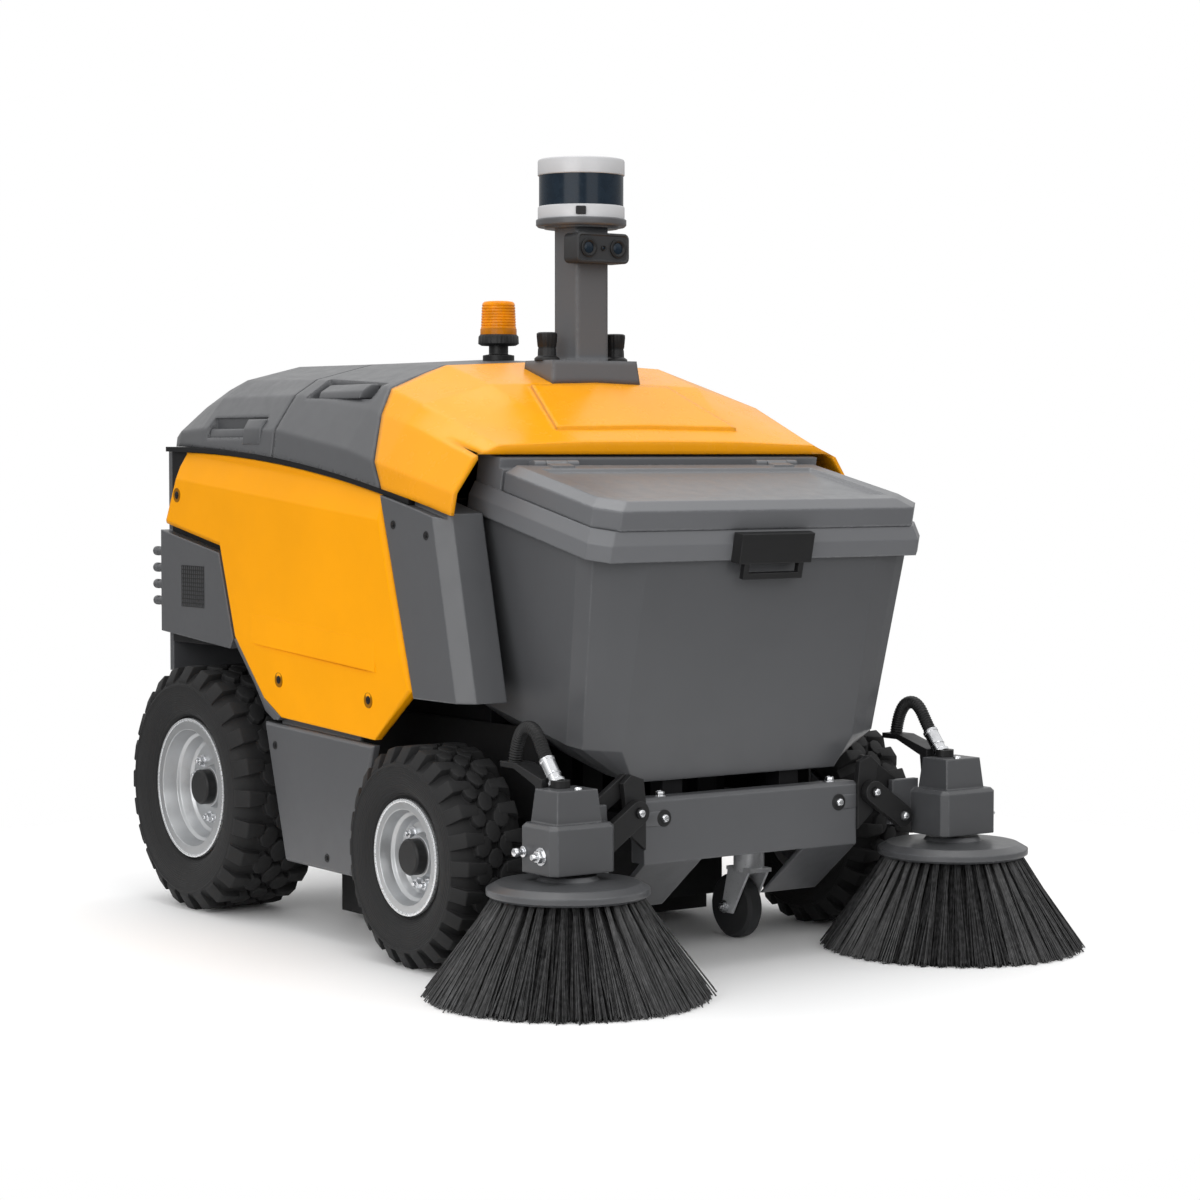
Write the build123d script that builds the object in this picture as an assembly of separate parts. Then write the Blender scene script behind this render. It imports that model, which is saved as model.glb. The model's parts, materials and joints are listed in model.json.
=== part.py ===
from build123d import *
import math
import os

os.makedirs("parts", exist_ok=True)

# Sizes in mm. +Z is up, the machine drives to -Y, X is across, Z 0 is the floor.
# Y is measured from a line near the front axle; save() moves everything to the middle of the length.

# body
BODY_HALF_W = 400
PANEL_T = 20
TUB_HALF_W = BODY_HALF_W - PANEL_T
TRIM_HALF_W = BODY_HALF_W - 4
WELL_IN = 155
WELL_HALF_W = BODY_HALF_W - WELL_IN
TUB_WALL = 6
TUB_FRONT_Y = 62
TUB_REAR_Y = 830
TUB_FLOOR_Z = 350
WELL_ROOF_Z = 440
FLANGE_W = 12
SEAM = 8
COVER_WALL = 6
COVER_GAP = 0.5
SPLIT_GAP = 5
BELT = ((-45, 667), (380, 742), (840, 769))
BELT_ENDS = (-100, 900)
BEYOND = 1000

# running gear
FRONT_AXLE_Y = 16
REAR_AXLE_Y = 708
KINGPIN_IN = 40
KINGPIN_R = 7
AXLE_HALF = 20
RUN_GAP = 0.5

# chassis
RAIL_IN = 60
RAIL_X = WELL_HALF_W - RAIL_IN
RAIL_W = 40
SUB_X = 110
SUB_W = 36
SUB_H = 36
BUMPER_IN = 200
BUMPER_HALF_W = BODY_HALF_W - BUMPER_IN
BUMPER_FRONT_Y = -267
BUMPER_T = 31
BUMPER_Z = (168, 263)
BUMPER_BEVEL = 5

# hopper, laid out in a frame tilted down to the front: u across, v to the rear, w up from the rim's top
SHOULDER_W = 58
RIM_GAP = 10
RIM_HALF_W = TUB_HALF_W - SHOULDER_W - RIM_GAP
HOPPER_TILT = 12.3
RIM_FRONT_Y = -312
RIM_TOP_Z = 647
RIM_H = 44
RIM_BEVEL_H = 20
RIM_BEVEL_W = 8
RIM_LENGTH = 335
BIN_WALL = 4
BIN_CORNER = 36
LID_HINGE_V = 262
LID_H = 39
LID_GAP = 0.6

# side brushes, carried at the ends of the bumper
ARM_PIN_OUT = 22
ARM_END_OUT = 80
BRUSH_OUT = 161.5
ARM_IN = (BUMPER_HALF_W + ARM_PIN_OUT, 246)
ARM_OUT = (BUMPER_HALF_W + ARM_END_OUT, 206)
BRUSH_X = BUMPER_HALF_W + BRUSH_OUT
BRUSH_Y = -306
BRUSH_TIP_R = 200
BRUSH_ROOT_R = 106
DISC_R = 115
DISC_Z = (142, 166)
LINK_RISE = 42
ARM_PIN_R = 7

# main broom
BROOM_Y = 330
BROOM_R = 140
BROOM_IN = 9
BROOM_HALF_L = WELL_HALF_W - BROOM_IN
BROOM_ROWS = 12
BROOM_ROOT_R = 112
BROOM_SHAFT_R = 12
BROOM_CLEAR = 18
HOUSING_WALL = 6

# mast
MAST_Y = 170
MAST_HALF = 30
MAST_FOOT = (81, 38)
MAST_FOOT_Z = (866, 904)
LIDAR_R = 68.7
LIDAR_Z = (1112, 1120, 1147, 1195, 1221)

# casters
CASTER_IN = 35
CASTER_X = RAIL_X - CASTER_IN
CASTER_Y = -70
CASTER_TRAIL = 30
CASTER_R = 50
CASTER_W = 28

REAR_TYRE_R = 203
REAR_END_Y = REAR_AXLE_Y + REAR_TYRE_R
FRONT_END_Y = BRUSH_Y - BRUSH_TIP_R
Y_MID = (REAR_END_Y + FRONT_END_Y) / 2


def belt(y):
    """Height of the body's belt line at y, a parabola through the three belt points."""
    (ya, za), (yb, zb), (yc, zc) = BELT
    s1 = (zb - za) / (yb - ya)
    s2 = (zc - zb) / (yc - yb)
    return za + s1 * (y - ya) + (s2 - s1) / (yc - ya) * (y - ya) * (y - yb)


def outline(points, radius=0):
    """Closed face from points, with rounded corners if a radius is given."""
    if radius:
        return make_face(FilletPolyline(*points, radius=radius, close=True))
    return make_face(Polyline(*points, close=True))


def facing_front(y):
    """Plane across the machine at y, for outlines of (x, z) points."""
    return Plane(origin=(0, y, 0), x_dir=(1, 0, 0), z_dir=(0, -1, 0))


def across(points, x0, x1, radius=0):
    """Side outline of (y, z) points carried across from x0 to x1."""
    return extrude(Plane.YZ.offset(x0) * outline(points, radius), amount=x1 - x0, dir=(1, 0, 0))


def along(points, y0, y1, radius=0):
    """Front outline of (x, z) points carried along from y0 to y1."""
    return extrude(facing_front(y0) * outline(points, radius), amount=y1 - y0, dir=(0, 1, 0))


def upright(points, z0, z1, radius=0):
    """Plan outline of (x, y) points carried up from z0 to z1."""
    return extrude(Plane.XY.offset(z0) * outline(points, radius), amount=z1 - z0, dir=(0, 0, 1))


def block(x, y, z):
    """Box between the two ends of each of the three spans."""
    size = (x[1] - x[0], y[1] - y[0], z[1] - z[0])
    mid = ((x[0] + x[1]) / 2, (y[0] + y[1]) / 2, (z[0] + z[1]) / 2)
    return Pos(*mid) * Box(*size)


def rod(start, end, radius):
    """Round bar from one point to another."""
    start = Vector(*start)
    reach = Vector(*end) - start
    return extrude(Plane(origin=start, z_dir=reach) * Circle(radius), amount=reach.length)


def turned_x(points):
    """Turn (x, radius) points about the X axis."""
    return revolve(outline(points), axis=Axis.X)


def turned_z(points):
    """Turn (radius, z) points about the Z axis."""
    return revolve(Plane.XZ * outline(points), axis=Axis.Z)


def bevelled(points, x0, x1, bevel):
    """Side outline carried outward from x0 to x1, its outer edges bevelled at 45 degrees."""
    crown = extrude(Plane.YZ.offset(x1 - bevel) * outline(points), amount=bevel, taper=45)
    return across(points, x0, x1 - bevel) + crown


def under_belt(drop):
    """Everything under the belt line lowered by drop."""
    y0, y1 = BELT_ENDS
    mid = (y0 + y1) / 2
    top = ThreePointArc((y0, belt(y0) - drop), (mid, belt(mid) - drop), (y1, belt(y1) - drop))
    sides = Polyline((y1, belt(y1) - drop), (y1, 0), (y0, 0), (y0, belt(y0) - drop))
    return extrude(Plane.YZ * make_face(top + sides), amount=BEYOND, both=True)


def toothed_points(count, tip, root):
    """Star outline of count teeth between two radii."""
    points = []
    for k in range(2 * count):
        turn = math.pi * k / count
        r = root if k % 2 else tip
        points.append((r * math.cos(turn), r * math.sin(turn)))
    return points


def facet_points(count, radius):
    """Regular polygon whose facets have their middles at that radius, the first on the outline's y axis."""
    corner = radius / math.cos(math.pi / count)
    turns = [math.pi * (2 * k + 1) / count for k in range(count)]
    return [(corner * math.sin(t), corner * math.cos(t)) for t in turns]


def same(solid):
    return solid


def other_side(solid):
    return mirror(solid, about=Plane.YZ)


def both(solid):
    return [solid, other_side(solid)]


def save(name, solids):
    solids = [Pos(0, -Y_MID, 0) * s for s in solids]
    whole = solids[0] if len(solids) == 1 else Compound(children=solids)
    export_step(whole, f"parts/{name}.step")


# wheels: rim_out is the rim's face beyond the body's side; then radii of tyre, bead, flange, hub and spindle,
# and the dish's depth
WHEELS = {
    "front": dict(axle_y=FRONT_AXLE_Y, rim_out=28, tyre_r=165, tyre_w=127, bead_r=76, flange_r=86, rim_half=53,
                  spindle_r=11, hub_r=31, dish=34),
    "rear": dict(axle_y=REAR_AXLE_Y, rim_out=15, tyre_r=REAR_TYRE_R, tyre_w=165, bead_r=102, flange_r=115,
                 rim_half=68, spindle_r=16, hub_r=33, dish=46),
}
FLANGE_T = 7
RIM_WALL = 5
RIM_STEP = 5
TYRE_SEAT = 0.3


LUGS = 24
LUG_DEPTH = 11
LUG_DUTY = 0.52
LUG_REACH = 46
LUG_SEAT = 9


def tyre(w):
    """Flat-sided tyre with a block lug over each facet of both shoulders, seated between the rim's flanges."""
    half = w["tyre_w"] / 2
    bead = w["rim_half"] - FLANGE_T - TYRE_SEAT
    r0 = w["bead_r"] + TYRE_SEAT
    r1 = w["tyre_r"]
    tread = r1 - LUG_DEPTH
    wall = r1 - r0
    profile = [(bead, w["flange_r"] + 2), (half - 4, r0 + 0.3 * wall), (half, r0 + 0.55 * wall),
               (half - 8, tread - 14), (half - 26, tread)]
    sections = [(-x, r) for x, r in profile] + [(x, r) for x, r in reversed(profile)]
    carcass = loft([Plane.YZ.offset(x) * outline(facet_points(LUGS, r)) for x, r in sections], ruled=True)
    carcass -= rod((-half, 0, 0), (half, 0, 0), r0)
    flank = [(half - LUG_REACH, tread - LUG_SEAT), (half - LUG_REACH, r1), (half - 15, r1 - 1), (half - 1, r1 - 24),
             (half - 4, r1 - 40)]
    lug_half = LUG_DUTY * math.pi * r1 / LUGS
    lug = extrude(outline(flank), amount=lug_half, both=True)
    spins = [Rot(360 * k / LUGS, 0, 0) for k in range(LUGS)]
    lugs = [spin * turn(lug) for spin in spins for turn in (same, other_side)]
    return carcass + lugs


def rim(w):
    """Deep-dished rim: two flanges, a barrel in two steps, a disc set back and a hub with the spindle's bore."""
    edge = w["rim_half"]
    bead = w["bead_r"]
    flange = w["flange_r"]
    inner = bead - RIM_WALL
    disc = edge - w["dish"]
    half_dish = w["dish"] / 2
    first = inner - 0.3 * half_dish
    second = first - RIM_STEP - 0.3 * half_dish
    bore = w["spindle_r"] + RUN_GAP
    hub = w["hub_r"]
    profile = [(edge, inner), (edge, flange), (edge - FLANGE_T, flange), (edge - FLANGE_T, bead),
               (FLANGE_T - edge, bead), (FLANGE_T - edge, flange), (-edge, flange), (-edge, inner),
               (disc - 14, inner), (disc - 14, second - 8), (disc - 8, hub + 6), (disc - 26, hub - 2),
               (disc - 26, bore), (disc + 12, bore), (disc + 12, hub), (disc, hub + 4), (disc, second - 4),
               (disc + 4, second), (edge - half_dish - 3, first - RIM_STEP), (edge - half_dish, first)]
    return turned_x(profile)


def hub_cap(w):
    """Flat-faced cap over the hub."""
    disc = w["rim_half"] - w["dish"]
    r = w["hub_r"] - 4
    return turned_x([(disc + 12, 0), (disc + 12, r), (disc + 27, r), (disc + 30, r - 3), (disc + 30, 0)])


for w in WHEELS.values():
    w["x"] = BODY_HALF_W + w["rim_out"] - w["rim_half"]

for end, w in WHEELS.items():
    place = Pos(w["x"], w["axle_y"], w["tyre_r"])
    for piece, make in (("tyre", tyre), ("rim", rim), ("hub_cap", hub_cap)):
        solid = place * make(w)
        save(f"{end}_{piece}_left", [other_side(solid)])
        save(f"{end}_{piece}_right", [solid])

front = WHEELS["front"]
rear = WHEELS["rear"]
FRONT_AXLE_Z = front["tyre_r"]
REAR_AXLE_Z = rear["tyre_r"]

# front axle with a yoke and kingpin at each end
KINGPIN_X = front["x"] - KINGPIN_IN
YOKE_T = 10
YOKE_IN = (45, 24)
YOKE_OUT = 18
KNUCKLE_R = 17
KNUCKLE_HALF = 25
yoke_top = FRONT_AXLE_Z + KNUCKLE_HALF + RUN_GAP
yoke_low = FRONT_AXLE_Z - KNUCKLE_HALF - RUN_GAP
axle_y = (FRONT_AXLE_Y - AXLE_HALF, FRONT_AXLE_Y + AXLE_HALF)
half_axle = block((0, KINGPIN_X - YOKE_IN[1] - 2), axle_y, (FRONT_AXLE_Z - AXLE_HALF, FRONT_AXLE_Z + AXLE_HALF))
half_axle += block((KINGPIN_X - YOKE_IN[0], KINGPIN_X - YOKE_IN[1]), axle_y,
                   (yoke_low - YOKE_T, yoke_top + YOKE_T))
for low in (yoke_top, yoke_low - YOKE_T):
    half_axle += block((KINGPIN_X - YOKE_IN[0], KINGPIN_X + YOKE_OUT), axle_y, (low, low + YOKE_T))
half_axle += rod((KINGPIN_X, FRONT_AXLE_Y, yoke_low - YOKE_T - 4), (KINGPIN_X, FRONT_AXLE_Y, yoke_top + YOKE_T + 4),
                 KINGPIN_R)
save("front_axle", [half_axle + other_side(half_axle)])

# steering knuckle: barrel on the kingpin and spindle out to the wheel
hub_out = front["x"] + front["rim_half"] - front["dish"] + 11
kingpin_low = (KINGPIN_X, FRONT_AXLE_Y, FRONT_AXLE_Z - KNUCKLE_HALF)
kingpin_top = (KINGPIN_X, FRONT_AXLE_Y, FRONT_AXLE_Z + KNUCKLE_HALF)
knuckle = rod(kingpin_low, kingpin_top, KNUCKLE_R)
knuckle += rod((KINGPIN_X, FRONT_AXLE_Y, FRONT_AXLE_Z), (hub_out, FRONT_AXLE_Y, FRONT_AXLE_Z), front["spindle_r"])
knuckle -= rod(kingpin_low, kingpin_top, KINGPIN_R + RUN_GAP)
save("knuckle_left", [other_side(knuckle)])
save("knuckle_right", [knuckle])

# broom housing: an arch over the broom with bearing plates and bars that carry the skirts
BROOM_Z = BROOM_R
HOUSING_R = BROOM_R + BROOM_CLEAR + HOUSING_WALL
HOUSING_X = BROOM_HALF_L + 4
HOUSING_DROP = 40
PLATE_T = 8
BAR_R = 10
BAR_PLACE = (70, 90)
RAIL_Z = (BROOM_Z + HOUSING_R, TUB_FLOOR_Z)
ring = Plane.YZ * (Pos(BROOM_Y, BROOM_Z) * (Circle(HOUSING_R) - Circle(HOUSING_R - HOUSING_WALL)))
housing = extrude(ring, amount=HOUSING_X, both=True)
housing &= block((-HOUSING_X, HOUSING_X), (BROOM_Y - HOUSING_R, BROOM_Y + HOUSING_R),
                 (BROOM_Z - HOUSING_DROP, RAIL_Z[0]))
PLATE = ((-150, 40), (-40, -40), (40, -40), (150, 40), (90, 134), (-90, 134))
plate = across([(BROOM_Y + y, BROOM_Z + z) for y, z in PLATE], HOUSING_X, HOUSING_X + PLATE_T)
plate -= rod((HOUSING_X, BROOM_Y, BROOM_Z), (HOUSING_X + PLATE_T, BROOM_Y, BROOM_Z), BROOM_SHAFT_R + RUN_GAP)
for y in (BROOM_Y - BAR_PLACE[0], BROOM_Y + BAR_PLACE[0]):
    plate += rod((HOUSING_X, y, BROOM_Z + BAR_PLACE[1]), (TUB_HALF_W, y, BROOM_Z + BAR_PLACE[1]), BAR_R)
housing += plate
housing += other_side(plate)
save("broom_housing", [housing])

shaft_end = HOUSING_X + PLATE_T
broom = rod((-shaft_end, BROOM_Y, BROOM_Z), (shaft_end, BROOM_Y, BROOM_Z), BROOM_SHAFT_R)
broom_rows = Plane.YZ * (Pos(BROOM_Y, BROOM_Z) * outline(toothed_points(BROOM_ROWS, BROOM_R, BROOM_ROOT_R)))
broom += extrude(broom_rows, amount=BROOM_HALF_L, both=True)
save("main_broom", [broom])

# chassis: rails under the tub, lower front rails over the front axle, risers, cross-members and a tow eye
SUB_Z = (FRONT_AXLE_Z + AXLE_HALF, FRONT_AXLE_Z + AXLE_HALF + SUB_H)
BUMPER_BACK_Y = BUMPER_FRONT_Y + BUMPER_T
RAIL_REAR_Y = TUB_REAR_Y + 12
RISER_T = 30
CROSS_W = 40
CROSS_Y = (TUB_FRONT_Y, 520, RAIL_REAR_Y - CROSS_W)
CASTER_TOP = 150
CASTER_SEAT = (34, 26, 12)
BELLY_T = 4
AXLE_PAD = 45
REAR_TUBE_R = 28
EYE_R = 13
EYE_T = 16
EYE_OUT_R = 26
EYE_Y = REAR_END_Y - EYE_OUT_R - 1
EYE_Z = (RAIL_Z[0] + RAIL_Z[1]) / 2
rail_x = (RAIL_X - RAIL_W / 2, RAIL_X + RAIL_W / 2)
seat, boss_r, seat_t = CASTER_SEAT
half_frame = block(rail_x, (TUB_FRONT_Y, RAIL_REAR_Y), RAIL_Z)
half_frame += block((SUB_X - SUB_W / 2, SUB_X + SUB_W / 2), (BUMPER_BACK_Y, TUB_FRONT_Y + RISER_T), SUB_Z)
half_frame += block((SUB_X - SUB_W / 2, rail_x[1]), (TUB_FRONT_Y, TUB_FRONT_Y + RISER_T), (SUB_Z[0], RAIL_Z[1]))
half_frame += block((0, CASTER_X + seat), (CASTER_Y - seat, CASTER_Y + seat), (SUB_Z[0], SUB_Z[0] + seat_t))
half_frame += rod((CASTER_X, CASTER_Y, CASTER_TOP), (CASTER_X, CASTER_Y, SUB_Z[0]), boss_r)
for y in CROSS_Y:
    half_frame += block((0, RAIL_X), (y, y + CROSS_W), RAIL_Z)
half_frame += block((0, RAIL_X), (TUB_FRONT_Y, RAIL_REAR_Y), (RAIL_Z[1] - BELLY_T, RAIL_Z[1]))
half_frame += block(rail_x, (REAR_AXLE_Y - AXLE_PAD, REAR_AXLE_Y + AXLE_PAD),
                    (REAR_AXLE_Z + REAR_TUBE_R, RAIL_Z[0]))
chassis = half_frame + other_side(half_frame)
eye = block((-EYE_OUT_R, EYE_OUT_R), (RAIL_REAR_Y - 1, EYE_Y), (EYE_Z - EYE_T / 2, EYE_Z + EYE_T / 2))
eye += rod((0, EYE_Y, EYE_Z - EYE_T / 2), (0, EYE_Y, EYE_Z + EYE_T / 2), EYE_OUT_R)
chassis += eye
chassis -= rod((0, EYE_Y, EYE_Z - EYE_T), (0, EYE_Y, EYE_Z + EYE_T), EYE_R)

# rear axle: tube with a drive housing, seated under the frame
DRIVE = ((-70, 50), (-40, 72), (40, 72), (70, 50))
rear_axle = rod((-WELL_HALF_W, REAR_AXLE_Y, REAR_AXLE_Z), (WELL_HALF_W, REAR_AXLE_Y, REAR_AXLE_Z), REAR_TUBE_R)
drive = turned_x([(DRIVE[0][0], 0), *DRIVE, (DRIVE[-1][0], 0)])
rear_axle += Pos(0, REAR_AXLE_Y, REAR_AXLE_Z) * drive
rear_out = rear["x"] + rear["rim_half"] - rear["dish"] + 11
rear_axle += rod((-rear_out, REAR_AXLE_Y, REAR_AXLE_Z), (rear_out, REAR_AXLE_Y, REAR_AXLE_Z), rear["spindle_r"])
save("rear_axle", [rear_axle])

# casters: fork turning under the chassis, wheel on the fork's axle
FORK_T = 4
FORK_CLEAR = 3
FORK_STEM_R = 24
FORK_HALF = 30
CASTER_PIN_R = 6
CASTER_EDGE = 5
fork_x = CASTER_W / 2 + FORK_CLEAR
wheel_y = CASTER_Y + CASTER_TRAIL
fork_top = 2 * CASTER_R + 8
fork = rod((0, CASTER_Y, fork_top), (0, CASTER_Y, CASTER_TOP - RUN_GAP), FORK_STEM_R)
fork += block((-fork_x - FORK_T, fork_x + FORK_T), (CASTER_Y - FORK_HALF, CASTER_Y + FORK_HALF),
              (fork_top, fork_top + FORK_T + 2))
leg = [(CASTER_Y - FORK_HALF + 4, fork_top + 3), (CASTER_Y + FORK_HALF - 4, fork_top + 3),
       (wheel_y + 14, CASTER_R - 10), (wheel_y - 14, CASTER_R - 10)]
fork += across(leg, fork_x, fork_x + FORK_T)
fork += across(leg, -fork_x - FORK_T, -fork_x)
pin_end = fork_x + FORK_T + 4
fork += rod((-pin_end, wheel_y, CASTER_R), (pin_end, wheel_y, CASTER_R), CASTER_PIN_R)
tread = [(CASTER_W / 2, CASTER_PIN_R + RUN_GAP), (CASTER_W / 2, CASTER_R - CASTER_EDGE),
         (CASTER_W / 2 - CASTER_EDGE, CASTER_R)]
caster_wheel = turned_x(tread + [(-x, r) for x, r in reversed(tread)])
for side, x in (("left", -CASTER_X), ("right", CASTER_X)):
    save(f"caster_fork_{side}", [Pos(x, 0, 0) * fork])
    save(f"caster_wheel_{side}", [Pos(x, wheel_y, CASTER_R) * caster_wheel])

# tub: T-shaped in section over the wheel wells, open at the top, cut off at the belt line with a flange


def tub_section(wall, top):
    half = [(WELL_HALF_W - wall, TUB_FLOOR_Z + wall), (WELL_HALF_W - wall, WELL_ROOF_Z + wall),
            (TUB_HALF_W - wall, WELL_ROOF_Z + wall), (TUB_HALF_W - wall, top)]
    return half + [(-x, z) for x, z in reversed(half)]


tub = along(tub_section(0, BEYOND), TUB_FRONT_Y, TUB_REAR_Y)
tub -= along(tub_section(TUB_WALL, BEYOND + 1), TUB_FRONT_Y + TUB_WALL, TUB_REAR_Y - TUB_WALL)
tub &= under_belt(0)
lip = under_belt(0) - under_belt(SEAM)
lip &= block((-TUB_HALF_W - FLANGE_W, TUB_HALF_W + FLANGE_W), (TUB_FRONT_Y, TUB_REAR_Y), (0, BEYOND))
lip -= block((1 - TUB_HALF_W, TUB_HALF_W - 1), (TUB_FRONT_Y, TUB_REAR_Y), (0, BEYOND))
tub += lip
save("body_tub", [tub])

BATTERY_IN = 45
BATTERY_HALF_W = WELL_HALF_W - BATTERY_IN
BATTERY_Y = (480, 800)
BATTERY_TOP = 640
save("battery_pack", [block((-BATTERY_HALF_W, BATTERY_HALF_W), BATTERY_Y, (TUB_FLOOR_Z + TUB_WALL, BATTERY_TOP))])

# side panels, skirts, shoulders and rear shell: outlines of (y, z) points in the side view
PANEL_BEVEL = 7
PANEL_FRONT = ((50, 406), (165, 780))
PANEL = ((733, 820), (826, 640), (634, 606), (584, 458), (494, 366), (440, 339), (158, 325), *PANEL_FRONT)
CREASE_Z = 446
FOOT_Z = 320
FOOT_IN = 8
BROW_IN = 14
BROW_H = 46
BROW_Y = (100, 900)
side_panel = bevelled(PANEL, TUB_HALF_W, BODY_HALF_W, PANEL_BEVEL) & under_belt(SEAM + 1)
side_panel &= along([(0, FOOT_Z), (BODY_HALF_W - FOOT_IN, FOOT_Z), (BODY_HALF_W, CREASE_Z), (BODY_HALF_W, BEYOND),
                     (0, BEYOND)], 0, BELT_ENDS[1])
brow_z = belt(BROW_Y[0])
brow = facing_front(BROW_Y[0]) * outline([(BODY_HALF_W + 1, brow_z - BROW_H), (BODY_HALF_W - BROW_IN, brow_z),
                                          (BODY_HALF_W + 1, brow_z + BROW_H)])
run = Vector(0, BROW_Y[1] - BROW_Y[0], belt(BROW_Y[1]) - brow_z)
side_panel -= extrude(brow, amount=run.length, dir=run.normalized())
save("side_panels", both(side_panel))

SKIRT = ((494, 329), (429, 111), (228, 109), (162, 316))
SKIRT_T = 14
SKIRT_BEVEL = 4
TONGUE = ((460, 300), (220, 300), (220, 350), (460, 356))
TONGUE_T = 6
skirt = bevelled(SKIRT, TUB_HALF_W, TUB_HALF_W + SKIRT_T, SKIRT_BEVEL)
# a tongue behind the panel's lower edge closes the joint
skirt += across(TONGUE, TUB_HALF_W - TONGUE_T, TUB_HALF_W)
save("skirts", both(skirt))

SHOULDER_IN = TUB_HALF_W - SHOULDER_W
SHOULDER_LOW = (-96, 396)
SHOULDER_TOP = (-6, 780)
SHOULDER_CUT = 24
shoulder = across([(PANEL_FRONT[1][0] - SPLIT_GAP, PANEL_FRONT[1][1]),
                   (PANEL_FRONT[0][0] - SPLIT_GAP - 3, SHOULDER_LOW[1]), SHOULDER_LOW, SHOULDER_TOP],
                  TUB_HALF_W, TRIM_HALF_W)
shoulder &= under_belt(SEAM + 1)
carrier = across([(TUB_FRONT_Y, SHOULDER_TOP[1]), (TUB_FRONT_Y, SHOULDER_LOW[1]), SHOULDER_LOW, SHOULDER_TOP],
                 SHOULDER_IN, TUB_HALF_W)
shoulder += carrier & under_belt(0)
lean = Vector(0, SHOULDER_TOP[0] - SHOULDER_LOW[0], SHOULDER_TOP[1] - SHOULDER_LOW[1])
corner = outline([(TRIM_HALF_W + 1, SHOULDER_LOW[0] - 4), (TRIM_HALF_W + 1, SHOULDER_LOW[0] + SHOULDER_CUT),
                  (TRIM_HALF_W - SHOULDER_CUT, SHOULDER_LOW[0] - 4)])
shoulder -= Pos(0, 0, SHOULDER_LOW[1]) * extrude(corner, amount=lean.length, dir=lean.normalized())
save("shoulders", both(shoulder))

REAR_T = 12
REAR_LOW_Z = TUB_FLOOR_Z + 40
REAR_CORNER = ((842, 629), (640, 595), (593, 455), (604, 440), (842, 458))
HOOD_HINGE = (TUB_REAR_Y + 32, belt(TUB_REAR_Y) - 11)
HINGE_R = 8
HINGE_PIN_R = 4
HINGE_X = (200, 216, 264, 280)
rear_shell = block((-TUB_HALF_W, TUB_HALF_W), (TUB_REAR_Y, TUB_REAR_Y + REAR_T),
                   (REAR_LOW_Z, belt(TUB_REAR_Y) - SEAM))
rear_corner = across(REAR_CORNER, TUB_HALF_W, TRIM_HALF_W)
hinge = rod((HINGE_X[0], *HOOD_HINGE), (HINGE_X[3], *HOOD_HINGE), HINGE_PIN_R)
for x in (HINGE_X[:2], HINGE_X[2:]):
    hinge += rod((x[0], *HOOD_HINGE), (x[1], *HOOD_HINGE), HINGE_R)
    hinge += block(x, (TUB_REAR_Y + REAR_T - 1, HOOD_HINGE[0]), (HOOD_HINGE[1] - HINGE_R, HOOD_HINGE[1] - 2))
for turn in (same, other_side):
    rear_shell += turn(rear_corner)
    rear_shell += turn(hinge)
save("rear_shell", [rear_shell])

# roof over the belt: each row has the distances in from the body's side and the heights of its four edges
ROOF = [
    # y, belt in, crease in, z, shoulder in, z, upper in, z, top in, z, ridge z
    (-45, 10, 20, 700, 55, 752, 100, 770, 250, 775, 776),
    (130, 4, 9, 740, 48, 803, 78, 832, 200, 864, 870),
    (240, 4, 10, 765, 49, 826, 82, 862, 195, 896, 905),
    (453, 4, 12, 795, 50, 851, 90, 876, 195, 902, 913),
    (711, 6, 14, 800, 55, 850, 100, 880, 200, 904, 912),
    (800, 15, 22, 795, 70, 835, 115, 865, 210, 885, 890),
    (868, 45, 50, 785, 90, 802, 130, 815, 220, 825, 828),
]
ROOF_SKIRT = 20


def roof_section(row, wall, shift=0):
    y, belt_in, crease_in, crease_z, shoulder_in, shoulder_z, upper_in, upper_z, top_in, top_z, ridge_z = row
    side = BODY_HALF_W
    half = [(side - belt_in - wall, belt(y) - ROOF_SKIRT), (side - crease_in - wall, crease_z),
            (side - shoulder_in - wall, shoulder_z - 0.7 * wall), (side - upper_in - 0.7 * wall, upper_z - wall),
            (side - top_in, top_z - wall)]
    points = half + [(0, ridge_z - wall)] + [(-x, z) for x, z in reversed(half)]
    return facing_front(y + shift) * outline(points)


roof_form = loft([roof_section(row, 0) for row in ROOF], ruled=True)
ends = [roof_section(ROOF[0], COVER_WALL, -1), roof_section(ROOF[-1], COVER_WALL, -COVER_WALL)]
middle = [roof_section(row, COVER_WALL) for row in ROOF[1:-1]]
roof_form -= under_belt(-COVER_GAP)
roof = roof_form - loft([ends[0], *middle, ends[1]], ruled=True)

# where the roof is split into cowl, mid cover and hood, in the side view
SEAM_FOOT = (70, 600)
SEAM_LOW = (130, 700)
SEAM_TOP = (262, 920)
HOOD_Y = 468
cowl_zone = across([(BELT_ENDS[0], SEAM_FOOT[1]), SEAM_FOOT, SEAM_LOW, SEAM_TOP, (BELT_ENDS[0], SEAM_TOP[1])],
                   -BEYOND, BEYOND)
mid_seam = [(y + SPLIT_GAP, z) for y, z in (SEAM_FOOT, SEAM_LOW, SEAM_TOP)]
mid_zone = across(mid_seam + [(HOOD_Y - SPLIT_GAP, SEAM_TOP[1]), (HOOD_Y - SPLIT_GAP, SEAM_FOOT[1])],
                  -BEYOND, BEYOND)
hood_zone = block((-BEYOND, BEYOND), (HOOD_Y, BELT_ENDS[1]), (SEAM_FOOT[1], BEYOND))
cowl = roof & cowl_zone
mid_cover = roof & mid_zone
rear_hood = roof & hood_zone

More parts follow.
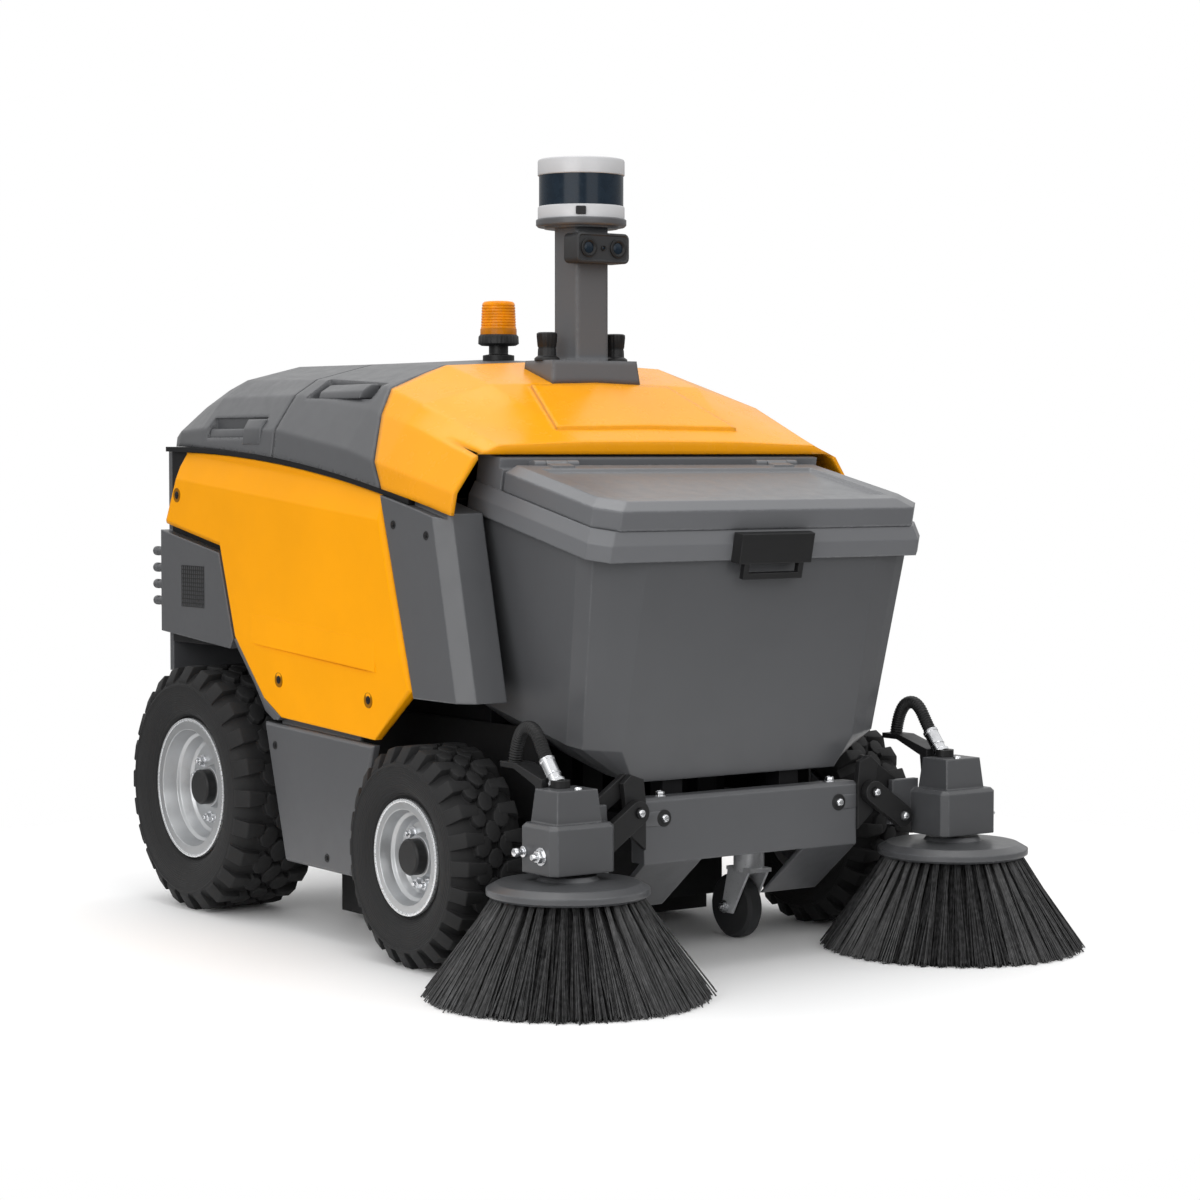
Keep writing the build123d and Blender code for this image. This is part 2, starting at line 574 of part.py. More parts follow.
# cowl: open at the front over the hopper, with a lip along its edge and a raised field on its slope
LIP_Z = 757
LIP_DROP = 12
LIP_BACK = (36, 779)
CHEEK_IN = SHOULDER_IN + 16
COWL_OPEN_Z = SEAM_FOOT[1] - 100
FIELD = ((-172, -8), (172, -8), (132, 118), (-132, 118))
FIELD_RISE = 5
cowl -= across([(BELT_ENDS[0], COWL_OPEN_Z), (BELT_ENDS[0], LIP_Z - LIP_DROP), (ROOF[0][0], LIP_Z), LIP_BACK,
                (LIP_BACK[0], COWL_OPEN_Z)], -CHEEK_IN, CHEEK_IN)
lip_y = (ROOF[0][0], ROOF[0][0] + COVER_WALL)
cowl += block((-CHEEK_IN, CHEEK_IN), lip_y, (LIP_Z, BEYOND)) & roof_form
field = upright(FIELD, LIP_Z, BEYOND) & (Pos(0, 0, FIELD_RISE) * roof_form)
cowl += field - roof_form
save("cowl", [cowl])

# grips: scoops in the mid cover's upper edges and slots in the hood's sides, each with a wall behind it
SCOOP_Y = (SEAM_TOP[0] - 8, HOOD_Y - 40)
SCOOP_IN = ((44, 846), (78, 838), (94, 850), (98, 920), (44, 920))
SLOT_Y = (510, 690)
SLOT_Z = (784, 816)
SLOT_IN = 30
scoop_edge = [(BODY_HALF_W - x, z) for x, z in SCOOP_IN]
scoop = along(scoop_edge, *SCOOP_Y)
scoop_wall = along([(x - COVER_WALL, z - COVER_WALL) for x, z in scoop_edge],
                   SCOOP_Y[0] - COVER_WALL, SCOOP_Y[1] + COVER_WALL)
slot = block((BODY_HALF_W - SLOT_IN, BODY_HALF_W), SLOT_Y, SLOT_Z)
slot_wall = block((BODY_HALF_W - SLOT_IN - COVER_WALL, BODY_HALF_W),
                  (SLOT_Y[0] - COVER_WALL, SLOT_Y[1] + COVER_WALL), (SLOT_Z[0] - COVER_WALL, SLOT_Z[1] + COVER_WALL))
for turn in (same, other_side):
    mid_cover += roof_form & mid_zone & turn(scoop_wall)
    mid_cover -= turn(scoop)
    rear_hood += roof_form & turn(slot_wall)
    rear_hood -= turn(slot)
save("mid_cover", [mid_cover])

LUG_T = 7
lug_x = (HINGE_X[1] + RUN_GAP, HINGE_X[2] - RUN_GAP)
lug = rod((lug_x[0], *HOOD_HINGE), (lug_x[1], *HOOD_HINGE), HINGE_R)
lug += block(lug_x, (HOOD_HINGE[0] - 2, HOOD_HINGE[0] - 2 + LUG_T), (HOOD_HINGE[1], HOOD_HINGE[1] + 24))
lug -= rod((lug_x[0], *HOOD_HINGE), (lug_x[1], *HOOD_HINGE), HINGE_PIN_R + RUN_GAP)
rear_hood += lug
rear_hood += other_side(lug)
save("rear_hood", [rear_hood])

# mast with foot, knobs, camera and lidar
FOOT_FLARE = 4
foot_low = Rectangle(2 * (MAST_FOOT[0] + FOOT_FLARE), 2 * (MAST_FOOT[1] + FOOT_FLARE))
foot_top = Rectangle(2 * MAST_FOOT[0], 2 * MAST_FOOT[1])
mast = loft([Pos(0, MAST_Y, MAST_FOOT_Z[0]) * foot_low, Pos(0, MAST_Y, MAST_FOOT_Z[1]) * foot_top])
mast += block((-MAST_HALF, MAST_HALF), (MAST_Y - MAST_HALF, MAST_Y + MAST_HALF), (MAST_FOOT_Z[1], LIDAR_Z[0]))
mast += rod((0, MAST_Y, LIDAR_Z[0]), (0, MAST_Y, LIDAR_Z[1]), LIDAR_R - 10)
mast -= roof_form
mast -= cowl
save("mast", [max(mast.solids(), key=lambda part: part.volume)])

KNOB = ((20, 0), (20, 5), (14, 8), (14, 40), (11, 44))
KNOB_X = MAST_FOOT[0] - 15
knob = turned_z([(0, 0), *KNOB, (0, KNOB[-1][1])])
save("mast_knobs", both(Pos(KNOB_X, MAST_Y, MAST_FOOT_Z[1]) * knob))

CAMERA_HALF_W = 50
CAMERA_T = 26
CAMERA_Z = (1058, 1100)
camera_back = MAST_Y - MAST_HALF
save("stereo_camera", [block((-CAMERA_HALF_W, CAMERA_HALF_W), (camera_back - CAMERA_T, camera_back), CAMERA_Z)])

CAP_EDGE = 6
WINDOW_IN = 2
on_mast = Pos(0, MAST_Y, 0)
ring_low = turned_z([(0, LIDAR_Z[1]), (LIDAR_R, LIDAR_Z[1]), (LIDAR_R, LIDAR_Z[2]), (0, LIDAR_Z[2])])
cap = turned_z([(0, LIDAR_Z[3]), (LIDAR_R, LIDAR_Z[3]), (LIDAR_R, LIDAR_Z[4] - CAP_EDGE),
                (LIDAR_R - CAP_EDGE, LIDAR_Z[4]), (0, LIDAR_Z[4])])
window_r = LIDAR_R - WINDOW_IN
window = turned_z([(0, LIDAR_Z[2]), (window_r, LIDAR_Z[2]), (window_r, LIDAR_Z[3]), (0, LIDAR_Z[3])])
save("lidar_rings", [on_mast * ring_low, on_mast * cap])
save("lidar_window", [on_mast * window])

# beacon on the mid cover: (radius, height) points from the cover's top
BEACON_Y = 405
BEACON_Z = 911
BEACON_FOOT = ((26, -20), (26, 8), (16, 10), (16, 30), (31, 34), (31, 42))
BEACON_LENS = ((30, 42), (29, 84), (22, 94))
on_cover = Pos(0, BEACON_Y, BEACON_Z)
beacon_base = on_cover * turned_z([(0, BEACON_FOOT[0][1]), *BEACON_FOOT, (0, BEACON_FOOT[-1][1])]) - roof
save("beacon_base", [max(beacon_base.solids(), key=lambda part: part.center().Z)])
beacon_lens = turned_z([(0, BEACON_LENS[0][1]), *BEACON_LENS, (0, BEACON_LENS[-1][1] + 3)])
save("beacon_lens", [on_cover * beacon_lens])

# hopper: each row has the height from the rim and the half widths as distances in from the rim's side
tilt = math.radians(HOPPER_TILT)
rim_up = (0, -math.sin(tilt), math.cos(tilt))
hopper_frame = Plane(origin=(0, RIM_FRONT_Y, RIM_TOP_Z), x_dir=(1, 0, 0), z_dir=rim_up)
BIN = [
    # w, side in, crease in, front v, corner v, back v
    (-375, 104, 122, 6, 12, 275),
    (-326, 28, 95, 5, 16, 290),
    (-RIM_H, 8, 98, 8, 22, 322),
    (0, 8, 98, 8, 22, 322),
]
CORNER_MID = 1 - math.sqrt(0.5)


def bin_section(row, wall, lift=0):
    w, side_in, crease_in, front_v, corner_v, back_v = row
    half = RIM_HALF_W - side_in - wall
    corner_v += wall
    mid = CORNER_MID * BIN_CORNER
    right = [(half, back_v - wall), (half, corner_v + BIN_CORNER), (half - mid, corner_v + mid),
             (half - min(BIN_CORNER, crease_in - side_in - wall - 2), corner_v),
             (RIM_HALF_W - crease_in, front_v + wall)]
    return hopper_frame.offset(w + lift) * outline(right + [(-u, v) for u, v in reversed(right)])


def tilted(points, w0, w1):
    """Outline in the rim's plane carried from w0 to w1."""
    return extrude(hopper_frame.offset(w0) * outline(points), amount=w1 - w0, dir=hopper_frame.z_dir)


def tapered(low_points, w0, top_points, w1):
    """Straight-sided body from one outline over the rim's plane to another."""
    low = hopper_frame.offset(w0) * outline(low_points)
    top = hopper_frame.offset(w1) * outline(top_points)
    return loft([low, top], ruled=True)


def cornered(u, v0, v1, cut):
    """Rectangle about u 0 whose two front corners are cut off."""
    return [(-u, v1), (-u, v0 + cut), (cut - u, v0), (u - cut, v0), (u, v0 + cut), (u, v1)]


def flat_rect(u, v):
    return [(u[0], v[0]), (u[1], v[0]), (u[1], v[1]), (u[0], v[1])]


def hopper_rod(u0, u1, v, w, r):
    ends = [hopper_frame.from_local_coords(Vector(u, v, w)) for u in (u0, u1)]
    return rod(*ends, r)


RIM_CUT = 26
DECK_IN = 10
DECK_STEP = 10
DECK_RISE = 7
bin_outer = loft([bin_section(row, 0) for row in BIN], ruled=True)
hopper = bin_outer
rim_foot = cornered(RIM_HALF_W, 0, RIM_LENGTH, RIM_CUT)
rim_crown = cornered(RIM_HALF_W - RIM_BEVEL_W, RIM_BEVEL_W, RIM_LENGTH, RIM_CUT)
hopper += tilted(rim_foot, -RIM_H, -RIM_BEVEL_H)
hopper += tapered(rim_foot, -RIM_BEVEL_H, rim_crown, 0)
hopper -= loft([bin_section(BIN[0], BIN_WALL, BIN_WALL), bin_section(BIN[1], BIN_WALL),
                bin_section(BIN[2], BIN_WALL), bin_section(BIN[3], BIN_WALL, 1)], ruled=True)
deck_v = (LID_HINGE_V + 6, RIM_LENGTH)
deck_u = (DECK_IN - RIM_HALF_W, RIM_HALF_W - DECK_IN)
hopper += tilted(flat_rect(deck_u, deck_v), -BIN_WALL, LID_H - 8)
hopper += tilted(flat_rect(deck_u, (deck_v[0] + DECK_STEP, deck_v[1])), 0, LID_H + DECK_RISE)

# lid hinge: barrels on the deck, leaves on the lid
LID_PIN_R = 3
LID_BARREL_R = 6
LID_HINGE_IN = (142, 122, 82, 62)
LEAF_L = 24
LEAF_T = 4
hinge_u = [RIM_HALF_W - u for u in LID_HINGE_IN]
barrel = hopper_rod(hinge_u[0], hinge_u[3], deck_v[0], LID_H, LID_PIN_R)
for u in (hinge_u[:2], hinge_u[2:]):
    barrel += hopper_rod(*u, deck_v[0], LID_H, LID_BARREL_R)
    barrel += tilted(flat_rect(u, (deck_v[0], deck_v[0] + LEAF_L)), LID_H - 9, LID_H + 2)
hopper += barrel
hopper += other_side(barrel)
save("hopper_bin", [hopper])

LID_IN = 10
LID_FRONT_V = 6
LID_CUT = 30
LID_BEVEL_H = 10
LID_BEVEL_W = 20
LID_BORDER = 30
LID_DISH = 5
lid_half = RIM_HALF_W - LID_IN
lid_foot = cornered(lid_half, LID_FRONT_V, LID_HINGE_V, LID_CUT)
lid_crown = cornered(lid_half - LID_BEVEL_W, LID_FRONT_V + LID_BEVEL_W, LID_HINGE_V, LID_CUT)
field_u = lid_half - LID_BEVEL_W - LID_BORDER
field_v = (LID_FRONT_V + LID_BEVEL_W + LID_BORDER, LID_HINGE_V - LID_BORDER)
lid = tilted(lid_foot, LID_GAP, LID_H - LID_BEVEL_H)
lid += tapered(lid_foot, LID_H - LID_BEVEL_H, lid_crown, LID_H)
dish_low = flat_rect((-field_u, field_u), field_v)
dish_top = flat_rect((-field_u - LID_DISH, field_u + LID_DISH), (field_v[0] - LID_DISH, field_v[1] + LID_DISH))
lid -= tapered(dish_low, LID_H - LID_DISH, dish_top, LID_H)
leaf_u = (hinge_u[1] + RUN_GAP, hinge_u[2] - RUN_GAP)
leaf = hopper_rod(*leaf_u, deck_v[0], LID_H, LID_BARREL_R)
leaf += tilted(flat_rect(leaf_u, (deck_v[0] - LEAF_L, deck_v[0])), LID_H - 1, LID_H - 1 + LEAF_T)
leaf -= hopper_rod(*leaf_u, deck_v[0], LID_H, LID_PIN_R + RUN_GAP)
lid += leaf
lid += other_side(leaf)
save("hopper_lid", [lid])

# latch on the rim's front, with a hook handle hanging under it
LATCH_HALF_W = 71
LATCH_T = 16
LATCH_TAPER = 4
HOOK_HALF_W = 55
HOOK_T = 9
HOOK_DROP = 26
latch_plan = [(-LATCH_HALF_W, 0), (LATCH_HALF_W, 0), (LATCH_HALF_W - LATCH_TAPER, -LATCH_T),
              (LATCH_TAPER - LATCH_HALF_W, -LATCH_T)]
latch = tilted(latch_plan, -RIM_H - 2, -2)
hook_v = (2 - LATCH_T, 2 - LATCH_T + HOOK_T)
hook_low = -RIM_H - HOOK_DROP
for u in ((-HOOK_HALF_W, HOOK_T - HOOK_HALF_W), (HOOK_HALF_W - HOOK_T, HOOK_HALF_W)):
    latch += tilted(flat_rect(u, hook_v), hook_low, -RIM_H)
latch += tilted(flat_rect((-HOOK_HALF_W, HOOK_HALF_W), hook_v), hook_low, hook_low + HOOK_T)
latch -= hopper
save("latch", [max(latch.solids(), key=lambda part: part.volume)])

# saddles between the lower front rails and the hopper's floor
SADDLE_Y = (-200, 0)
SADDLE_HALF = 15
SADDLE_H = 160
for y in SADDLE_Y:
    for x in (-SUB_X, SUB_X):
        saddle = block((x - SUB_W / 2, x + SUB_W / 2), (y - SADDLE_HALF, y + SADDLE_HALF),
                       (SUB_Z[1] - 1, SUB_Z[1] + SADDLE_H))
        chassis += min((saddle - bin_outer).solids(), key=lambda part: part.center().Z)
save("chassis_frame", [chassis])

# bumper beam, with two plates that slope back under it
APRON_IN = 96
APRON_T = 6
APRON_LOW = (96, 90)
bumper = across([(BUMPER_FRONT_Y, BUMPER_Z[0]), (BUMPER_BACK_Y, BUMPER_Z[0]), (BUMPER_BACK_Y, BUMPER_Z[1]),
                 (BUMPER_FRONT_Y + BUMPER_BEVEL, BUMPER_Z[1]), (BUMPER_FRONT_Y, BUMPER_Z[1] - BUMPER_BEVEL)],
                -BUMPER_HALF_W, BUMPER_HALF_W)
apron = across([(BUMPER_FRONT_Y, BUMPER_Z[0]), (BUMPER_FRONT_Y + APRON_LOW[0], APRON_LOW[1]),
                (BUMPER_FRONT_Y + APRON_LOW[0] + APRON_T, APRON_LOW[1]),
                (BUMPER_FRONT_Y + 2 * APRON_T, BUMPER_Z[0])], APRON_IN, BUMPER_HALF_W)
bumper += apron
bumper += other_side(apron)
save("front_bumper", [bumper])

# side brush: bracket, lower arm, upper link, motor head, disc and bristles
EAR_T = 10
PLAY = 2
ARM_T = 13
LINK_T = 10
ARM_R = 17
LINK_R = 12
PIN_PROUD = 4
LINK_SHIFT = 4
EAR_Y = (BUMPER_FRONT_Y - 4, BUMPER_FRONT_Y - 4 + EAR_T)
ARM_Y = (EAR_Y[0] - PLAY - ARM_T, EAR_Y[0] - PLAY)
LINK_Y = (EAR_Y[1] + PLAY, EAR_Y[1] + PLAY + LINK_T)
LINK_IN = (ARM_IN[0] + LINK_SHIFT, ARM_IN[1] + LINK_RISE)
LINK_OUT = (ARM_OUT[0] + LINK_SHIFT, ARM_OUT[1] + LINK_RISE)


def slot_plate(a, b, r, y):
    """Plate with round ends at the (x, z) places a and b."""
    reach = Vector(b[0] - a[0], b[1] - a[1])
    mid = ((a[0] + b[0]) / 2, (a[1] + b[1]) / 2)
    angle = math.degrees(math.atan2(reach.Y, reach.X))
    shape = Pos(*mid) * Rot(0, 0, angle) * SlotCenterToCenter(reach.length, 2 * r)
    return extrude(facing_front(y[0]) * shape, amount=y[1] - y[0], dir=(0, 1, 0))


def pin_y(at, y0, y1, r):
    return rod((at[0], y0, at[1]), (at[0], y1, at[1]), r)


def eyed_plate(a, b, r, y):
    """Slot plate with a running bore at each end."""
    plate = slot_plate(a, b, r, y)
    for at in (a, b):
        plate -= pin_y(at, *y, ARM_PIN_R + RUN_GAP)
    return plate


bracket = along([(BUMPER_HALF_W, BUMPER_Z[0] + 22), (ARM_IN[0] + 8, ARM_IN[1] - 31), (LINK_IN[0] + 14, LINK_IN[1]),
                 (LINK_IN[0], LINK_IN[1] + 12), (BUMPER_HALF_W + 4, LINK_IN[1] + 4),
                 (BUMPER_HALF_W, BUMPER_Z[1] - BUMPER_BEVEL)], *EAR_Y)
bracket += pin_y(ARM_IN, ARM_Y[0] - PIN_PROUD, EAR_Y[1], ARM_PIN_R)
bracket += pin_y(LINK_IN, EAR_Y[0], LINK_Y[1] + PIN_PROUD, ARM_PIN_R)
save("arm_brackets", both(bracket))
arm = eyed_plate(ARM_IN, ARM_OUT, ARM_R, ARM_Y)
link = eyed_plate(LINK_IN, LINK_OUT, LINK_R, LINK_Y)

MOTOR_HALF = (55, 42)
MOTOR_CUT = 9
MOTOR_Z = (177, 246)
MOTOR_EDGE = 5
MOTOR_TOP_Z = 292
HEAD_SHIFT = 4
HEAD_LOW = (76, 64)
HEAD_TOP = (68, 54)
EAR_REACH = 40
SPINDLE_R = 10
half_x, half_y = MOTOR_HALF
quarter = [(half_x, half_y - MOTOR_CUT), (half_x - MOTOR_CUT, half_y)]
half_plan = quarter + [(-x, y) for x, y in reversed(quarter)]
plan = half_plan + [(x, -y) for x, y in reversed(half_plan)]
motor = upright([(BRUSH_X + x, BRUSH_Y + y) for x, y in plan], *MOTOR_Z)
motor = chamfer(motor.faces().sort_by(Axis.Z)[-1].edges(), MOTOR_EDGE)
head = Pos(BRUSH_X, BRUSH_Y + HEAD_SHIFT)
motor += loft([head * Pos(0, 0, MOTOR_Z[1]) * Rectangle(*HEAD_LOW),
               head * Pos(0, 0, MOTOR_TOP_Z) * Rectangle(*HEAD_TOP)])
motor += along([(LINK_OUT[0] - 14, LINK_OUT[1] + 12), (ARM_OUT[0] - 14, ARM_OUT[1] - 14),
                (BRUSH_X - EAR_REACH, ARM_OUT[1] - 14), (BRUSH_X - EAR_REACH, LINK_OUT[1] + 12)], *EAR_Y)
motor += pin_y(ARM_OUT, ARM_Y[0] - PIN_PROUD, EAR_Y[1], ARM_PIN_R)
motor += pin_y(LINK_OUT, EAR_Y[0], LINK_Y[1] + PIN_PROUD, ARM_PIN_R)
motor += rod((BRUSH_X, BRUSH_Y, DISC_Z[0] + 2), (BRUSH_X, BRUSH_Y, MOTOR_Z[0]), SPINDLE_R)

DISC_BAND = 12
DISC_SLOPE = 14
BOSS_R = 44
BOSS_H = 6
BRISTLE_IN = 38
TUFTS = 32
TUFT_ROOT = 0.91
on_brush = Pos(BRUSH_X, BRUSH_Y, 0)
bore = SPINDLE_R + RUN_GAP
disc = on_brush * turned_z([
    (bore, DISC_Z[0]), (DISC_R - 6, DISC_Z[0]), (DISC_R, DISC_Z[0] + 4), (DISC_R, DISC_Z[0] + DISC_BAND),
    (DISC_R - DISC_SLOPE, DISC_Z[1] - 4), (BOSS_R, DISC_Z[1]), (BOSS_R - 4, DISC_Z[1] + BOSS_H),
    (bore, DISC_Z[1] + BOSS_H)])
tuft_low = toothed_points(TUFTS, BRUSH_TIP_R, BRUSH_TIP_R * TUFT_ROOT)
tuft_top = toothed_points(TUFTS, BRUSH_ROOT_R, BRUSH_ROOT_R * TUFT_ROOT)
hollow_low = facet_points(TUFTS, BRUSH_TIP_R - BRISTLE_IN)
hollow_top = facet_points(TUFTS, BRUSH_ROOT_R - BRISTLE_IN)
bristle_top = Plane.XY.offset(DISC_Z[0])
bristles = loft([outline(tuft_low), bristle_top * outline(tuft_top)], ruled=True)
bristles -= loft([outline(hollow_low), bristle_top * outline(hollow_top)], ruled=True)
bristles = on_brush * bristles

# hose: from the motor's gland over an arch to a bracket behind the motor, as (y, z) from the brush's axis
HOSE_R = 10
HOSE_BEND = 28
HOSE_PATH = ((26, 297), (120, 411), (131, 320))
GLAND_R = 14
GLAND_H = 11
GLAND_BACK = 7
HOLDER = ((42, 226), (50, 226), (58, 292), (112, 312), (146, 312), (146, 320), (108, 320), (42, 302))
HOLDER_HALF_W = 16
hose_points = [(BRUSH_X, BRUSH_Y + y, z) for y, z in HOSE_PATH]
hose_line = FilletPolyline(*hose_points, radius=HOSE_BEND)
hose = sweep(Plane(origin=hose_line @ 0, z_dir=hose_line % 0) * Circle(HOSE_R), path=hose_line)
gland_y = hose_points[0][1] - GLAND_BACK
gland = rod((BRUSH_X, gland_y, MOTOR_TOP_Z), (BRUSH_X, gland_y, MOTOR_TOP_Z + GLAND_H), GLAND_R) - hose
holder = across([(BRUSH_Y + y, z) for y, z in HOLDER], BRUSH_X - HOLDER_HALF_W, BRUSH_X + HOLDER_HALF_W)
holder -= hose
holder -= motor

for side, turn in (("left", other_side), ("right", same)):
    save(f"arm_{side}", [turn(arm)])
    save(f"link_{side}", [turn(link)])
    save(f"brush_motor_{side}", [turn(motor)])
    save(f"hose_{side}", [turn(hose)])
    save(f"hose_bracket_{side}", [turn(gland), turn(holder)])
    save(f"brush_disc_{side}", [turn(disc)])
    save(f"bristles_{side}", [turn(bristles)])
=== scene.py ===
"""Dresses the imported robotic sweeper: finishes, treaded tyres, brushes, hoses, fittings and a studio."""

import json
import math
import random

import bmesh
import bpy
from mathutils import Matrix, Vector


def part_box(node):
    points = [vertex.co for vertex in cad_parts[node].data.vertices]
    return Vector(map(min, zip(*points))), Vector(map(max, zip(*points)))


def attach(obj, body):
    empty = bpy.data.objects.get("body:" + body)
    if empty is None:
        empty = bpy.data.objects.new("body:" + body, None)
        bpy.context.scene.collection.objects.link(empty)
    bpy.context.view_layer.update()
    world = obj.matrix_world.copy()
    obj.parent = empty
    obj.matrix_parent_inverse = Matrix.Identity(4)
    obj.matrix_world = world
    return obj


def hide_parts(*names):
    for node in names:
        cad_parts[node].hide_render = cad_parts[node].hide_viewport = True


bl_info = {
    "name": "Robotic sweeper",
    "version": (1, 0, 0),
    "blender": (4, 5, 0),
    "location": "View3D > Sidebar > Sweeper",
    "description": "Finishes, tyres, brushes, hoses and fittings of a robotic sweeper",
    "category": "Object",
}

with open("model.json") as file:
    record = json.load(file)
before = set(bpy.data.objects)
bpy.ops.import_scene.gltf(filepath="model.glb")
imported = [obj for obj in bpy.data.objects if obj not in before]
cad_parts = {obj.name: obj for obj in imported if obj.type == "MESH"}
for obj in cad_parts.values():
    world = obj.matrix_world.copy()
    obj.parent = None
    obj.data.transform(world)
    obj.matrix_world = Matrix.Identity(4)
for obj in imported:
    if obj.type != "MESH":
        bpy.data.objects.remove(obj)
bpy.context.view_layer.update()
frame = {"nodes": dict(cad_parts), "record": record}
SIDES = {"left": -1, "right": 1}
WHEELS = [(end, side) for end in ("front", "rear") for side in SIDES]
UP = Vector((0, 0, 1))
FORWARD = Vector((0, -1, 0))
# plane of the hopper rim's lower edge, under its painted highlight: tilt, normal and distance from the origin
RIM_TILT = math.radians(12.3)
RIM_NORMAL = (0, -math.sin(RIM_TILT), math.cos(RIM_TILT))
RIM_HEIGHT = 0.6975


# shader maths


class Wire:
    """One output of a material's nodes, so that shader maths reads as Python."""

    def __init__(self, finish, socket):
        self.finish = finish
        self.socket = socket

    def maths(self, operation, *values):
        return self.finish.node("ShaderNodeMath", {"operation": operation}, dict(enumerate(values)))

    def __add__(self, other):
        return self.maths("ADD", self, other)

    def __radd__(self, other):
        return self.maths("ADD", other, self)

    def __sub__(self, other):
        return self.maths("SUBTRACT", self, other)

    def __rsub__(self, other):
        return self.maths("SUBTRACT", other, self)

    def __mul__(self, other):
        return self.maths("MULTIPLY", self, other)

    def __rmul__(self, other):
        return self.maths("MULTIPLY", other, self)


class Wiring:
    """The nodes of a material or of the sky."""

    def __init__(self, tree):
        self.tree = tree

    def plug(self, node, inputs):
        for key, value in inputs.items():
            if isinstance(value, Wire):
                self.tree.links.new(value.socket, node.inputs[key])
            else:
                node.inputs[key].default_value = value

    def node(self, kind, settings, inputs, output=0):
        """Adds a node of that kind, sets it up, feeds its sockets and returns one of its outputs."""
        node = self.tree.nodes.new(kind)
        for key, value in settings.items():
            setattr(node, key, value)
        self.plug(node, inputs)
        return Wire(self, node.outputs[output])

    def vectors(self, operation, *values, output="Vector"):
        return self.node("ShaderNodeVectorMath", {"operation": operation}, dict(enumerate(values)), output)

    def ramp(self, value, low, high, start=0.0, end=1.0):
        """Value carried from low..high to start..end and held there beyond."""
        inputs = {"Value": value, "From Min": low, "From Max": high, "To Min": start, "To Max": end}
        return self.node("ShaderNodeMapRange", {"clamp": True}, inputs)


class Finish(Wiring):
    """A material with one principled shader, and the nodes that feed it."""

    def __init__(self, name):
        self.material = bpy.data.materials.new(name)
        self.material.use_nodes = True
        super().__init__(self.material.node_tree)
        self.tree.nodes.clear()
        self.shader = self.tree.nodes.new("ShaderNodeBsdfPrincipled")
        output = self.tree.nodes.new("ShaderNodeOutputMaterial")
        self.tree.links.new(self.shader.outputs[0], output.inputs["Surface"])

    def surface(self, **inputs):
        """Sets the shader's own sockets, by their names with underscores for spaces."""
        self.plug(self.shader, {key.replace("_", " "): value for key, value in inputs.items()})

    def place(self):
        return self.node("ShaderNodeTexCoord", {}, {}, "Object")

    def noise(self, scale, detail=2.0, roughness=0.5):
        inputs = {"Vector": self.place(), "Scale": scale, "Detail": detail, "Roughness": roughness}
        return self.node("ShaderNodeTexNoise", {}, inputs, "Fac")

    def mix(self, share, first, second):
        return self.node("ShaderNodeMix", {"data_type": "RGBA"}, {0: share, 6: first, 7: second}, 2)

    def soft_normal(self, radius):
        """Normal of the surface with its edges rounded over by that radius."""
        return self.node("ShaderNodeBevel", {"samples": 6}, {"Radius": radius}, "Normal")

    def edges(self, rounded):
        """Share of each spot that lies on a rounded edge."""
        flat = self.node("ShaderNodeNewGeometry", {}, {}, "Normal")
        return self.ramp(1 - self.vectors("DOT_PRODUCT", rounded, flat, output="Value"), 0.01, 0.12)

    def above_rim(self):
        """Share of each spot that lies above the lower edge of the hopper's rim."""
        height = self.vectors("DOT_PRODUCT", self.place(), RIM_NORMAL, output="Value")
        return self.ramp(height, RIM_HEIGHT - 0.0008, RIM_HEIGHT)

    def bump(self, height, distance, strength, normal=None):
        inputs = {"Height": height, "Distance": distance, "Strength": strength}
        if normal:
            inputs["Normal"] = normal
        return self.node("ShaderNodeBump", {}, inputs)


def shade(colour, factor):
    """Colour made lighter or darker, as a shader takes it."""
    return (*[min(1.0, c * factor) for c in colour[:3]], 1.0)


def moulded(name, colour, roughness, edge_light, soft=0.003, gloss=0.3, grain=0.6, rim_highlight=1.0):
    """Moulded plastic: fine grain, faint cloudiness, painted highlights on edges and on the hopper's rim."""
    finish = Finish(name)
    rounded = finish.soft_normal(soft)
    edge = finish.edges(rounded)
    cloud = finish.noise(7.0, 3.0)
    fine = finish.noise(1300.0)
    dull = finish.noise(38.0, 4.0, 0.6)
    base = finish.mix(finish.ramp(cloud, 0.35, 0.65), shade(colour, 0.97), shade(colour, 1.02))
    tone = finish.mix(finish.ramp(fine, 0.45, 0.8, 0.0, grain / 2), base, shade(colour, 0.85))
    # painted highlight on the hopper's rim: a lighter copy of the colour above the rim's lower edge
    if rim_highlight > 1:
        tone = finish.mix(finish.above_rim(), tone, shade(colour, rim_highlight))
    # painted highlight along the edges, stronger in some patches than in others
    edge_highlight = edge * finish.ramp(dull, 0.3, 0.6, 0.35, 0.9)
    finish.surface(
        Base_Color=finish.mix(edge_highlight, tone, shade(colour, edge_light)),
        Roughness=finish.ramp(dull, 0.3, 0.7, roughness - 0.05, roughness + 0.06) - edge * 0.08,
        Normal=finish.bump(fine, 0.00012, grain, rounded),
        Specular_IOR_Level=gloss,
    )
    return finish.material


def metal(name, colour, roughness, metallic=1.0, soft=0.0012, dirt=0.75, uneven=0.3):
    """Plated or painted metal: fine scratches, specks of dirt and a painted highlight on the edges."""
    finish = Finish(name)
    rounded = finish.soft_normal(soft)
    edge = finish.edges(rounded)
    grime = finish.noise(26.0, 5.0, 0.65)
    scratch = finish.noise(240.0, 3.0, 0.7)
    fine = finish.noise(1500.0)
    base = finish.mix(finish.ramp(grime, 0.5, 0.75), shade(colour, 1.0), shade(colour, dirt))
    finish.surface(
        # painted highlight on the edges
        Base_Color=finish.mix(edge * 0.7, base, shade(colour, 1.2)),
        Metallic=metallic,
        Roughness=finish.ramp(scratch, 0.3, 0.7, roughness * (1 - uneven), roughness * (1 + uneven)),
        Normal=finish.bump(fine, 0.00006, uneven, rounded),
    )
    return finish.material


